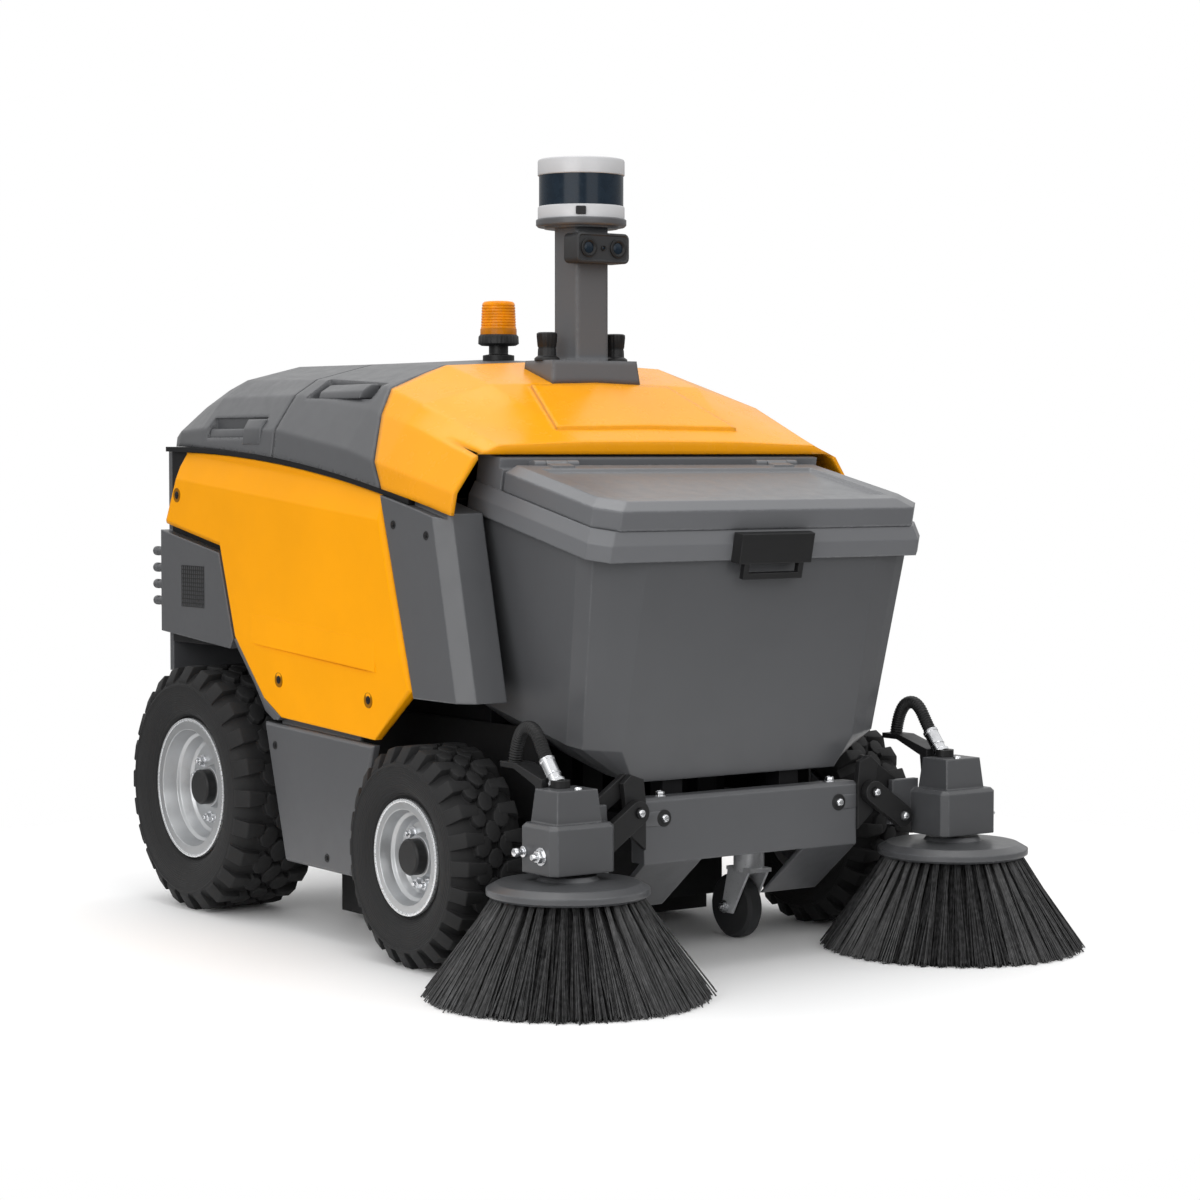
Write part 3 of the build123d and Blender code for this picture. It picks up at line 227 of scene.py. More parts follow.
def rubber(name, colour, hub, ring_from, ring_to):
    """Tyre rubber: matt, dusty in patches, with fine rings round the sidewall."""
    finish = Finish(name)
    flat = finish.vectors("MULTIPLY", finish.vectors("SUBTRACT", finish.place(), hub), (0, 1, 1))
    reach = finish.vectors("LENGTH", flat, output="Value")
    wave = finish.node("ShaderNodeMath", {"operation": "SINE"}, {0: reach * (2 * math.pi / 0.0035)})
    inside = finish.ramp(reach, ring_from, ring_from + 0.003) * finish.ramp(reach, ring_to, ring_to - 0.003)
    rounded = finish.soft_normal(0.0015)
    edge = finish.edges(rounded)
    dust = finish.noise(18.0, 4.0, 0.6)
    fine = finish.noise(900.0, 3.0, 0.6)
    base = finish.mix(finish.ramp(dust, 0.4, 0.75), shade(colour, 0.8), shade(colour, 1.35))
    finish.surface(
        # painted highlight on the edges: a much lighter copy of the rubber's colour
        Base_Color=finish.mix(edge * 0.6, base, shade(colour, 2.2)),
        Roughness=finish.ramp(dust, 0.3, 0.7, 0.62, 0.8),
        Normal=finish.bump(fine + wave * inside * 0.9, 0.0003, 0.7, rounded),
        Specular_IOR_Level=0.35,
    )
    return finish.material


def nylon(name, colour):
    """Bristle filament: black with a faint gloss, each strand a little different."""
    finish = Finish(name)
    tone = finish.noise(140.0)
    wear = finish.noise(30.0, 3.0)
    finish.surface(
        Base_Color=finish.mix(finish.ramp(tone, 0.35, 0.7), shade(colour, 0.5), shade(colour, 2.4)),
        Roughness=finish.ramp(wear, 0.3, 0.7, 0.34, 0.55),
        Normal=finish.bump(finish.noise(700.0), 0.0002, 0.5),
    )
    return finish.material


def tinted(name, colour, roughness, coat, glow):
    """Coloured plastic or glass, with faint streaks and dust."""
    finish = Finish(name)
    streak = finish.noise(60.0, 3.0)
    rounded = finish.soft_normal(0.001)
    finish.surface(
        Base_Color=finish.mix(finish.ramp(streak, 0.35, 0.7), shade(colour, 0.85), shade(colour, 1.1)),
        Roughness=finish.ramp(streak, 0.3, 0.7, roughness * 0.7, roughness * 1.4),
        Normal=finish.bump(streak, 0.0001, 0.4, rounded),
        Specular_IOR_Level=0.15,
        Coat_Weight=coat,
        Coat_Roughness=0.12,
        # the glow is painted light: amber that shines as if lit from within
        Emission_Color=shade(colour, 1.0),
        Emission_Strength=glow,
    )
    return finish.material


FINISHES = {}


# modelling


def start(primitive, **settings):
    """Adds a primitive with nothing else selected and returns it."""
    bpy.ops.object.select_all(action="DESELECT")
    primitive(**settings)
    bpy.ops.object.transform_apply()
    return bpy.context.object


def put(name, data):
    """Adds an object with that data to the scene."""
    thing = bpy.data.objects.new(name, data)
    bpy.context.scene.collection.objects.link(thing)
    return thing


def everywhere(element):
    return True


def middle(element):
    """Middle of a face, an edge or a vertex."""
    if isinstance(element, bmesh.types.BMFace):
        return element.calc_center_median()
    if isinstance(element, bmesh.types.BMEdge):
        return (element.verts[0].co + element.verts[1].co) / 2
    return element.co


def shape(piece, domain, test, operator, **settings):
    """Runs one edit operator on those faces, edges or vertices of the piece that pass the test."""
    bpy.context.view_layer.objects.active = piece
    bpy.ops.object.mode_set(mode="EDIT")
    bpy.ops.mesh.select_mode(type=domain)
    bpy.ops.mesh.select_all(action="DESELECT")
    mesh = bmesh.from_edit_mesh(piece.data)
    for element in {"FACE": mesh.faces, "EDGE": mesh.edges, "VERT": mesh.verts}[domain]:
        element.select_set(test(element))
    mesh.select_flush_mode()
    bmesh.update_edit_mesh(piece.data)
    operator(**settings)
    bpy.ops.object.mode_set(mode="OBJECT")


def bevelled(piece, test, offset, segments=2):
    shape(piece, "EDGE", test, bpy.ops.mesh.bevel, offset=offset, segments=segments)


def inset(piece, test, thickness, each=False):
    shape(piece, "FACE", test, bpy.ops.mesh.inset, thickness=thickness, use_individual=each)


def extruded(piece, test, height):
    shape(piece, "FACE", test, bpy.ops.mesh.extrude_region_move,
          TRANSFORM_OT_translate={"value": (0, 0, height)})


def left_picked(piece):
    """Test for the faces that the last operator left selected."""
    kept = {face.index for face in piece.data.polygons if face.select}
    return lambda face: face.index in kept


def facing(direction):
    """Test for faces that look along a direction."""
    return lambda face: face.normal.dot(direction) > 0.9


def above(limit):
    """Test for elements whose middle is higher than a limit."""
    return lambda element: middle(element).z > limit


def corners(x, z):
    """Test for edges that run along Y past those distances from the middle."""
    return lambda edge: abs(middle(edge).x) > x and abs(middle(edge).z) > z


def traced(points):
    """Fresh piece in edit mode with a line of edges through points, all selected."""
    piece = start(bpy.ops.mesh.primitive_plane_add, size=0.001)
    bpy.ops.object.mode_set(mode="EDIT")
    bpy.ops.mesh.select_mode(type="VERT")
    bpy.ops.mesh.select_all(action="SELECT")
    bpy.ops.mesh.merge(type="CENTER")
    bpy.ops.transform.translate(value=points[0])
    for last, point in zip(points, points[1:]):
        bpy.ops.mesh.extrude_region_move(TRANSFORM_OT_translate={"value": point - last})
    bpy.ops.mesh.select_all(action="SELECT")
    return piece


def closed():
    """Turns the normals of the piece that is being made outwards and leaves edit mode."""
    bpy.ops.mesh.select_all(action="SELECT")
    bpy.ops.mesh.remove_doubles(threshold=0.00002)
    bpy.ops.mesh.normals_make_consistent(inside=False)
    bpy.ops.object.mode_set(mode="OBJECT")


def rectangle(x, low, high):
    """Outline from -x to x and from low to high."""
    return ((-x, low), (x, low), (x, high), (-x, high))


def slab(points, thickness):
    """Plate of that thickness, both ways from Z 0, from an outline of (x, y) points."""
    piece = traced([Vector((x, y, -thickness / 2)) for x, y in points])
    bpy.ops.mesh.edge_face_add()
    bpy.ops.mesh.extrude_region_move(TRANSFORM_OT_translate={"value": (0, 0, thickness)})
    closed()
    return piece


def turned(profile, steps=48):
    """Turns (radius, height) points about the Z axis into a mesh."""
    piece = traced([Vector((radius, 0, height)) for radius, height in profile])
    bpy.ops.mesh.spin(steps=steps, angle=2 * math.pi, center=(0, 0, 0), axis=(0, 0, 1))
    closed()
    return piece


def fluted(profile, teeth, depth, low, high):
    """Turned piece whose side is pressed in between its teeth, from one height to another."""
    piece = turned(profile, teeth * 4)
    pitch = math.pi / (teeth * 2)

    def between(vertex):
        column = round(math.atan2(vertex.co.y, vertex.co.x) / pitch) % 4
        return column > 1 and low < vertex.co.z < high

    shape(piece, "VERT", between, bpy.ops.transform.resize, value=(1 - depth, 1 - depth, 1),
          center_override=(0, 0, 0))
    return piece


def towards(direction):
    """Turn that carries +Z to a direction."""
    return UP.rotation_difference(Vector(direction)).to_matrix().to_4x4()


def spot(place, way):
    """Carries a piece's foot to a place and its +Z to a direction."""
    return Matrix.Translation(place) @ towards(way)


def sideways(sign):
    return Vector((sign, 0, 0))


def on_side(sign, out):
    """Carries an outline of (y, z) points to one side of the body, at that distance out."""
    return Matrix(((0, 0, sign, sign * out), (1, 0, 0, 0), (0, 1, 0, 0), (0, 0, 0, 1)))


def across(y):
    """Carries an outline of (x, z) points to a plane across the body that looks forward."""
    return Matrix.Translation((0, y, 0)) @ Matrix.Rotation(math.pi / 2, 4, "X")


def behind(y):
    """Carries an outline of (x, z) points to a plane across the body that looks back."""
    return Matrix(((1, 0, 0, 0), (0, 0, 1, y), (0, 1, 0, 0), (0, 0, 0, 1)))


def move(piece, matrix):
    piece.data.transform(matrix)
    if matrix.determinant() < 0:
        piece.data.flip_normals()
    return piece


def copies(master, matrices):
    """Copies of a master, each with its own mesh, at those places; the master goes."""
    made = []
    for matrix in matrices:
        made.append(move(put(master.name, master.data.copy()), matrix))
    bpy.data.objects.remove(master)
    return made


def joined(name, pieces, angle=35):
    """Joins pieces into one mesh, smooth but for its sharp edges."""
    bpy.ops.object.select_all(action="DESELECT")
    for piece in pieces:
        piece.select_set(True)
    bpy.context.view_layer.objects.active = pieces[0]
    if len(pieces) > 1:
        bpy.ops.object.join()
    bpy.ops.object.shade_smooth_by_angle(angle=math.radians(angle))
    whole = bpy.context.object
    whole.name = name
    whole.data.name = name
    return whole


def added(name, pieces, finish, body="body", replaced=(), angle=35):
    """Joins pieces into a finished one on a body and the nodes that it stands for."""
    piece = joined(name, pieces, angle)
    piece.data.materials.append(FINISHES[finish])
    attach(piece, body)
    if replaced:
        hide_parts(*replaced)
    return piece


def spread(node):
    """Middle of a node's box, and half its size."""
    low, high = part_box(node)
    return (low + high) / 2, (high - low) / 2


def hex_nut(radius, height, stud):
    """Hexagon nut with chamfered corners on a washer, and a stud's end if it has a length."""
    washer_t = radius * 0.2
    washer = turned([(0, 0), (radius * 1.35, 0), (radius * 1.35, washer_t), (0, washer_t)], 24)
    nut = start(bpy.ops.mesh.primitive_cylinder_add, vertices=6, radius=radius, depth=height,
                location=(0, 0, height / 2 + washer_t))
    top = height + washer_t
    bevelled(nut, above(top - 0.0001), radius * 0.14)
    inset(nut, facing(UP), radius * 0.2)
    pieces = [nut, washer]
    if stud:
        pieces.append(turned([(0, top), (radius * 0.5, top), (radius * 0.5, top + stud * 0.8),
                              (radius * 0.4, top + stud), (0, top + stud)], 16))
    return joined("nut", pieces)


def socket_bolt(radius, height):
    """Round-headed bolt with a hexagon socket."""
    head = turned([(radius, 0), (radius, height * 0.45), (radius * 0.82, height * 0.85),
                   (radius * 0.6, height)], 24)
    floor = start(bpy.ops.mesh.primitive_circle_add, vertices=6, radius=radius * 0.42, fill_type="NGON",
                  location=(0, 0, height))
    extruded(floor, everywhere, -height * 0.5)
    ring = turned([(radius * 0.6, height), (radius * 0.4, height)], 24)
    return joined("bolt", [head, floor, ring])


# settings


def colour_property(name, description, default):
    return bpy.props.FloatVectorProperty(name=name, description=description, default=default, size=4,
                                         subtype="COLOR", min=0, max=1)


def length_property(name, description, default):
    return bpy.props.FloatProperty(name=name, description=description, default=default, unit="LENGTH")


def count_property(name, description, default):
    return bpy.props.IntProperty(name=name, description=description, default=default, min=1)


def value_property(name, description, default, subtype="NONE"):
    return bpy.props.FloatProperty(name=name, description=description, default=default, subtype=subtype)


class SweeperColours(bpy.types.PropertyGroup):
    """Colours of the finishes"""

    yellow: colour_property("Yellow", "Side panels and cowl", (0.98, 0.385, 0.0008, 1))
    grey: colour_property("Grey", "Hood, hopper and brush housings", (0.084, 0.086, 0.091, 1))
    black: colour_property("Black", "Caps, latch, arms and knobs", (0.013, 0.013, 0.0135, 1))
    frame: colour_property("Frame", "Chassis and axles", (0.008, 0.008, 0.009, 1))
    rubber: colour_property("Rubber", "Tyres", (0.0125, 0.0125, 0.013, 1))
    bristle: colour_property("Bristle", "Brush filaments", (0.019, 0.019, 0.0195, 1))
    rim: colour_property("Rim", "Painted wheel rims", (0.5, 0.51, 0.52, 1))
    zinc: colour_property("Zinc", "Bolts, nuts and fittings", (0.72, 0.73, 0.75, 1))
    cap: colour_property("Sensor cap", "Rings of the rotating sensor", (0.56, 0.56, 0.57, 1))
    glass: colour_property("Sensor glass", "Dark windows and lenses", (0.007, 0.017, 0.03, 1))
    amber: colour_property("Amber", "Warning beacon", (0.84, 0.27, 0.002, 1))
    floor: colour_property("Floor", "Studio floor", (0.96, 0.96, 0.96, 1))


class SweeperSizes(bpy.types.PropertyGroup):
    """Sizes and counts of the added pieces"""

    lugs: count_property("Lugs", "Shoulder lugs round each side of a tyre", 24)
    lug_depth: length_property("Lug depth", "Height of the tread over the carcass", 0.011)
    tufts: count_property("Tufts", "Bristle tufts round a side brush", 42)
    strands: count_property("Strands", "Filaments in one tuft", 38)
    strand_radius: length_property("Strand radius", "Radius of a filament at its root", 0.001)
    broom_rows: count_property("Broom rows", "Rows of tufts on the main broom", 10)
    nut_radius: length_property("Wheel nut", "Radius over the corners of a wheel nut", 0.0075)
    bolt_radius: length_property("Bolt", "Radius of a bolt's head", 0.0065)
    hose_diameter: length_property("Hose", "Diameter of the brush hoses", 0.02)
    hose_pitch: length_property("Hose pitch", "Distance from one rib of a hose to the next", 0.004)


class SweeperStudio(bpy.types.PropertyGroup):
    """Camera and light"""

    camera: bpy.props.FloatVectorProperty(name="Camera", description="Place of the camera",
                                          subtype="TRANSLATION", default=(-2.7174, -3.8511, 0.7626))
    heading: value_property("Heading", "Turn of the camera about the vertical", math.radians(-35.8), "ANGLE")
    pitch: value_property("Pitch", "Camera's downward look", math.radians(2.9), "ANGLE")
    lens: value_property("Lens", "Focal length on a 36 mm sensor", 88.52)
    sky: value_property("Sky", "Strength of the light from above", 1.0)
    horizon: value_property("Horizon", "Strength of the light from the sides", 0.3)
    key: value_property("Key", "Power of the large light", 55, "POWER")


def colours():
    return bpy.context.scene.sweeper_colours


def sizes():
    return bpy.context.scene.sweeper_sizes


# operators


# soft lights: place, size and share of the key light's power; they look at the middle of the machine
LIGHTS = {"key_light": ((-3.5, -1.9, 1.6), 3.0, 1.0), "fill_light": ((-0.4, -4.2, 1.7), 2.4, 0.4),
          "top_light": ((0.1, 0.3, 3.9), 3.0, 0.9)}
LOOK_AT = Vector((0, 0, 0.4))
FLOOR_SIZE = 8
# distances from the middle where the floor starts to fade and is gone
FLOOR_FADE = (1.0, 1.7)
# height of a look upwards at which the sky has its full strength
SKY_FULL = 0.42


class SWEEPER_OT_stage(bpy.types.Operator):
    """Set the camera, the soft lights and the pale floor"""

    bl_idname = "sweeper.stage"
    bl_label = "Stage"

    def execute(self, context):
        scene = context.scene
        studio = scene.sweeper_studio
        camera = put("camera", bpy.data.cameras.new("camera"))
        camera.data.sensor_width = 36
        camera.data.lens = studio.lens
        camera.location = studio.camera
        camera.rotation_euler = (math.pi / 2 - studio.pitch, 0, studio.heading)
        scene.camera = camera
        scene.view_settings.view_transform = "Standard"
        for name, (place, size, share) in LIGHTS.items():
            light = put(name, bpy.data.lights.new(name, "AREA"))
            light.data.size = size
            light.data.energy = studio.key * share
            light.location = place
            light.rotation_euler = (LOOK_AT - Vector(place)).to_track_quat("-Z", "Y").to_euler()
        world = bpy.data.worlds.new("studio")
        world.use_nodes = True
        sky = Wiring(world.node_tree)
        seen = sky.node("ShaderNodeLightPath", {}, {}, "Is Camera Ray")
        way = sky.node("ShaderNodeTexCoord", {}, {}, "Generated")
        height = sky.node("ShaderNodeSeparateXYZ", {}, {"Vector": way}, "Z")
        glow = sky.ramp(height, 0.0, SKY_FULL, studio.horizon, studio.sky)
        backdrop = world.node_tree.nodes["Background"]
        sky.plug(backdrop, {"Color": (1, 1, 1, 1), "Strength": seen + (1 - seen) * glow})
        scene.world = world
        floor = start(bpy.ops.mesh.primitive_grid_add, x_subdivisions=8, y_subdivisions=8, size=FLOOR_SIZE)
        floor.name = "floor"
        paper = Finish("studio_floor")
        cloud = paper.noise(1.5, 3.0)
        reach = paper.vectors("LENGTH", paper.place(), output="Value")
        paper.surface(
            Base_Color=paper.mix(cloud, shade(colours().floor, 0.99), shade(colours().floor, 1.0)),
            Roughness=paper.ramp(cloud, 0.3, 0.7, 0.55, 0.65),
            Alpha=paper.ramp(reach, *FLOOR_FADE, 1.0, 0.0),
        )
        floor.data.materials.append(paper.material)
        return {"FINISHED"}


# moulded finishes: colour, its shade, roughness, painted highlight on the edges, their radius, gloss, grain,
# and the painted highlight on the hopper's rim
MOULDED = {
    "yellow_panel": ("yellow", 1.0, 0.36, 1.1, 0.006, 0.08, 0.15),
    # yellow_cover: a darker copy of the panels' yellow, painted shade on the cowl
    "yellow_cover": ("yellow", 0.9, 0.24, 1.15, 0.012, 0.24, 0.1),
    "yellow_crease": ("yellow", 1.0, 0.36, 1.1, 0.0006, 0.08, 0.15),
    # yellow_recess: painted shade in the panel screws' cups, a much darker copy of the yellow
    "yellow_recess": ("yellow", 0.3, 0.5, 1.2, 0.001, 0.1),
    "grey_plastic": ("grey", 1.0, 0.34, 1.8, 0.004, 0.5),
    "grey_cover": ("grey", 1.0, 0.36, 1.4, 0.012, 0.5),
    # grey_bin: the hopper's rim carries a painted highlight, 1.7 times lighter than the grey
    "grey_bin": ("grey", 1.0, 0.34, 1.8, 0.004, 0.5, 0.6, 1.7),
    # grey_lid: a lighter copy of the grey, painted highlight on the hopper's lid
    "grey_lid": ("grey", 1.55, 0.34, 1.5, 0.006, 0.5),
    # grey_motor: a darker copy of the grey, painted shade on the brush motors and discs
    "grey_motor": ("grey", 0.78, 0.34, 1.8, 0.004, 0.5),
    # grey_mast: a lighter copy of the grey, painted highlight on the mast
    "grey_mast": ("grey", 1.35, 0.36, 1.3, 0.012, 0.4),
    "black_plastic": ("black", 1.0, 0.4, 3.0, 0.002, 0.3),
    "hose_black": ("black", 1.0, 0.45, 2.5, 0.0006, 0.3),
    "dark_frame": ("frame", 1.0, 0.5, 2.0, 0.002, 0.2),
    "caster_grey": ("grey", 0.35, 0.55, 1.8, 0.002),
    "camera_grey": ("grey", 0.45, 0.45, 2.0, 0.001, 0.3),
    "battery_grey": ("grey", 0.5, 0.5, 1.5),
}
# metals: colour, its shade, roughness, metallic share, radius of the edges, shade of the dirt, unevenness
METALS = {
    "rim_silver": ("rim", 1.0, 0.36, 0.85, 0.002, 0.92, 0.15),
    # rim_lip: a lighter copy of the rim's paint, painted highlight on the rolled lip
    "rim_lip": ("rim", 1.5, 0.28, 0.7, 0.001, 0.95, 0.15),
    "zinc_steel": ("zinc", 1.0, 0.2),
    "fork_zinc": ("zinc", 1.0, 0.35, 0.3),
    "lidar_silver": ("cap", 1.0, 0.4, 0.12, 0.002, 0.98, 0.08),
}
# tinted finishes: colour, its shade, roughness, coat, painted glow
TINTS = {
    "lidar_dark": ("glass", 1.0, 0.26, 0.25, 0.0),
    "amber_lens": ("amber", 1.0, 0.2, 0.05, 0.1),
    "amber_foot": ("amber", 0.65, 0.3, 0.05, 0.04),
}
FILAMENTS = {"bristle_black": ("bristle", 1.0)}
# nodes, without their sides, whose finish isn't named as their slot is
NODE_FINISHES = {"cowl": "yellow_cover", "mid_cover": "grey_cover", "rear_hood": "grey_cover",
                 "mast": "grey_mast", "hopper_lid": "grey_lid", "hopper_bin": "grey_bin",
                 "caster_fork": "fork_zinc", "brush_motor": "grey_motor", "brush_disc": "grey_motor"}
# width of the ringed band round a tyre's sidewall
RINGED = 0.05


class SWEEPER_OT_finishes(bpy.types.Operator):
    """Mix the finishes and give them to the frame's own nodes"""

    bl_idname = "sweeper.finishes"
    bl_label = "Finishes"

    def execute(self, context):
        paint = colours()
        for mixed, table in ((moulded, MOULDED), (metal, METALS), (tinted, TINTS), (nylon, FILAMENTS)):
            for name, (colour, factor, *rest) in table.items():
                FINISHES[name] = mixed(name, shade(getattr(paint, colour), factor), *rest)
        for end, side in WHEELS:
            hub, half = spread(f"{end}_rim_{side}")
            finish = rubber(f"tyre_{end}_{side}", paint.rubber, hub, half.z, half.z + RINGED)
            FINISHES[f"{end}_tyre_{side}"] = finish
        for row in frame["record"]["subparts"]:
            node = row["node"]
            kind = node.removesuffix("_left").removesuffix("_right")
            name = node if node in FINISHES else NODE_FINISHES.get(kind, row["material_slot"])
            for slot in frame["nodes"][node].material_slots:
                slot.material = FINISHES[name]
        return {"FINISHED"}


# hose: its route as (y, z) points from the brush's axis, its length, and the swell of its ribs
HOSE_ROUTE = ((0.026, 0.297), (0.054, 0.33), (0.084, 0.376), (0.124, 0.362), (0.131, 0.32))
RIB_SWELL = (1.0, 0.93, 0.86, 0.93)
# crimped sleeve and nut at the foot of a hose: share of the hose's radius, and height
HOSE_FITTING = ((0.9, -0.001), (1.3, -0.001), (1.3, 0.004), (1.02, 0.005), (1.02, 0.013), (1.16, 0.0135),
                (1.16, 0.015), (1.1, 0.0155), (1.1, 0.036), (1.18, 0.037), (1.18, 0.041), (0.95, 0.042))


class SWEEPER_OT_hoses(bpy.types.Operator):
    """Make the ribbed hose of each brush motor, with its bright fitting"""

    bl_idname = "sweeper.hoses"
    bl_label = "Hoses"

    def execute(self, context):
        wide = sizes().hose_diameter
        for side in SIDES:
            body = f"brush_head_{side}"
            path = self.path(context, spread(f"brush_disc_{side}")[0])
            hose = added(f"ribbed_hose_{side}", [self.ribbed(path, wide / 2)], "hose_black", body,
                         replaced=(f"hose_{side}",), angle=60)
            sleeve = turned([(wide / 2 * share, height) for share, height in HOSE_FITTING], 32)
            move(sleeve, spot(path[0], (path[4] - path[0]).normalized()))
            added(f"hose_fitting_{side}", [sleeve], "zinc_steel", body)
        return {"FINISHED"}

    def path(self, context, axis):
        """Points along the smooth line of a hose."""
        line = bpy.data.curves.new("hose_line", "CURVE")
        line.dimensions = "3D"
        spline = line.splines.new("NURBS")
        spline.points.add(len(HOSE_ROUTE) - 1)
        for point, (y, z) in zip(spline.points, HOSE_ROUTE):
            point.co = (axis.x, axis.y + y, z, 1)
        spline.order_u = 3
        spline.use_endpoint_u = True
        spline.resolution_u = 24
        guide = put("hose_line", line)
        context.view_layer.update()
        points = [v.co.copy() for v in bpy.data.meshes.new_from_object(guide).vertices]
        bpy.data.objects.remove(guide)
        return points

    def ribbed(self, path, radius):
        """Tube along a path whose radius swells at each rib."""
        run = [0.0]
        for a, b in zip(path, path[1:]):
            run.append(run[-1] + (b - a).length)
        stops = int(run[-1] / sizes().hose_pitch) * len(RIB_SWELL)
        step = run[-1] / stops
        piece = start(bpy.ops.mesh.primitive_circle_add, vertices=20, radius=radius)
        bpy.ops.object.mode_set(mode="EDIT")
        for _ in range(stops):
            bpy.ops.mesh.extrude_region_move(TRANSFORM_OT_translate={"value": (0, 0, step)})
        bpy.ops.object.mode_set(mode="OBJECT")
        for vertex in piece.data.vertices:
            height = max(0.0, min(run[-1], vertex.co.z))
            swell = RIB_SWELL[round(height / step) % len(RIB_SWELL)]
            index = max(i for i, d in enumerate(run) if d <= height + 1e-9)
            index = min(index, len(path) - 2)
            leg = path[index + 1] - path[index]
            place = path[index] + leg * ((height - run[index]) / leg.length)
            ring = Vector((vertex.co.x * swell, vertex.co.y * swell, 0))
            vertex.co = place + towards(leg.normalized()) @ ring
        return piece


# share of the lugs' pitch that a lug and half a centre block fill
LUG_DUTY = 0.52
PEBBLE_DUTY = 0.36
# rows of centre blocks: place across the tread as a share of half its width, and turn as a share of the pitch
PEBBLE_ROWS = ((-0.3, 0.75), (0.0, 0.25), (0.3, 0.75))
# depth to which the tyre's bead sits inside the rim's edge, and to which centre blocks sink in the carcass
BEAD_IN = 0.008
PEBBLE_SINK = 0.003


class SWEEPER_OT_tyres(bpy.types.Operator):
    """Make the treaded tyres: carcass, shoulder lugs and rounded centre blocks"""

    bl_idname = "sweeper.tyres"
    bl_label = "Tyres"

    def execute(self, context):
        for end, side in WHEELS:
            node = f"{end}_tyre_{side}"
            hub, half = spread(node)
            rim = spread(f"{end}_rim_{side}")[1]
            draw = random.Random(f"{end} {side}")
            pieces = [self.carcass(half.z, half.x, rim.z, rim.x - BEAD_IN)]
            pieces += self.lugs(half.z, half.x)
            pieces += self.pebbles(half.z, half.x, draw)
            tyre = added(f"treaded_{node}", pieces, node, f"{end}_wheel_{side}", (node,), 32)
            move(tyre, spot(hub, sideways(SIDES[side])))
        return {"FINISHED"}

    def carcass(self, radius, half, bead, seat):
        """Tyre body under the tread, turned about Z with its outer side up."""
        deep = radius - sizes().lug_depth
        wall = radius - bead
        side = [(bead - 0.008, seat), (bead + 0.003, seat + 0.001), (bead + 0.01, half - 0.012),
                (bead + 0.25 * wall, half - 0.004), (bead + 0.45 * wall, half - 0.001),
                (bead + 0.62 * wall, half - 0.002), (bead + 0.64 * wall, half - 0.0005),
                (bead + 0.67 * wall, half - 0.0015), (deep - 0.012, half - 0.008),
                (deep - 0.002, half - 0.02), (deep, half - 0.034)]
        return turned(side + [(deep + 0.001, 0)] + [(r, -h) for r, h in reversed(side)], 96)

    def lugs(self, radius, half):
        """Chamfered blocks round both shoulders."""
        count = sizes().lugs
        deep = radius - sizes().lug_depth
        flank = [(deep - 0.009, half - 0.046), (radius, half - 0.046), (radius - 0.001, half - 0.015),
                 (radius - 0.024, half - 0.001), (radius - 0.04, half - 0.004)]
        lug = slab(flank, 2 * math.pi * radius / count * LUG_DUTY)
        move(lug, Matrix.Rotation(math.pi / 2, 4, "X"))
        shape(lug, "VERT", lambda v: v.co.z < half - 0.04, bpy.ops.transform.resize, value=(1, 0.66, 1),
              center_override=(0, 0, 0))
        bevelled(lug, lambda e: middle(e).x > deep - 0.02, 0.002)
        turns = []
        for flip in (1, -1):
            for k in range(count):
                spin = Matrix.Rotation(2 * math.pi * k / count, 4, "Z")
                turns.append(spin @ Matrix.Diagonal((1, 1, flip, 1)))
        return copies(lug, turns)

    def pebbles(self, radius, half, draw):
        """Rounded blocks of uneven shape in rows along the middle of the tread."""
        count = sizes().lugs
        deep = sizes().lug_depth + PEBBLE_SINK
        long = 2 * math.pi * radius / count * PEBBLE_DUTY
        block = start(bpy.ops.mesh.primitive_cylinder_add, vertices=9, radius=1, depth=1,
                      location=(0, 0, 0.5))
        bevelled(block, above(0.99), 0.16)
        places = []
        for share, phase in PEBBLE_ROWS:
            for k in range(count):
                spin = Matrix.Rotation(2 * math.pi * (k + phase + draw.uniform(-0.07, 0.07)) / count, 4, "Z")
                out = spot((radius - deep, 0, share * half), (1, 0, 0))
                wide = half * draw.uniform(0.17, 0.21)
                size = Matrix.Diagonal((wide, long * draw.uniform(0.95, 1.15), deep - 0.001, 1))
                places.append(spin @ out @ Matrix.Rotation(draw.uniform(-0.5, 0.5), 4, "Z") @ size)
        return copies(block, places)


# wheel nuts: circle they stand on and distance of the wheel's disc out from its middle
NUTS = {"front": (0.0435, 0.019), "rear": (0.055, 0.022)}
NUT_ANGLES = (15, 45, 135, 165, 255, 285)
# rolled edge of a rim: distances past the rim's radius and past its side
RIM_LIP = ((-0.005, -0.003), (-0.0042, 0.0004), (-0.002, 0.0012), (0.0004, 0.0004), (0.001, -0.003))


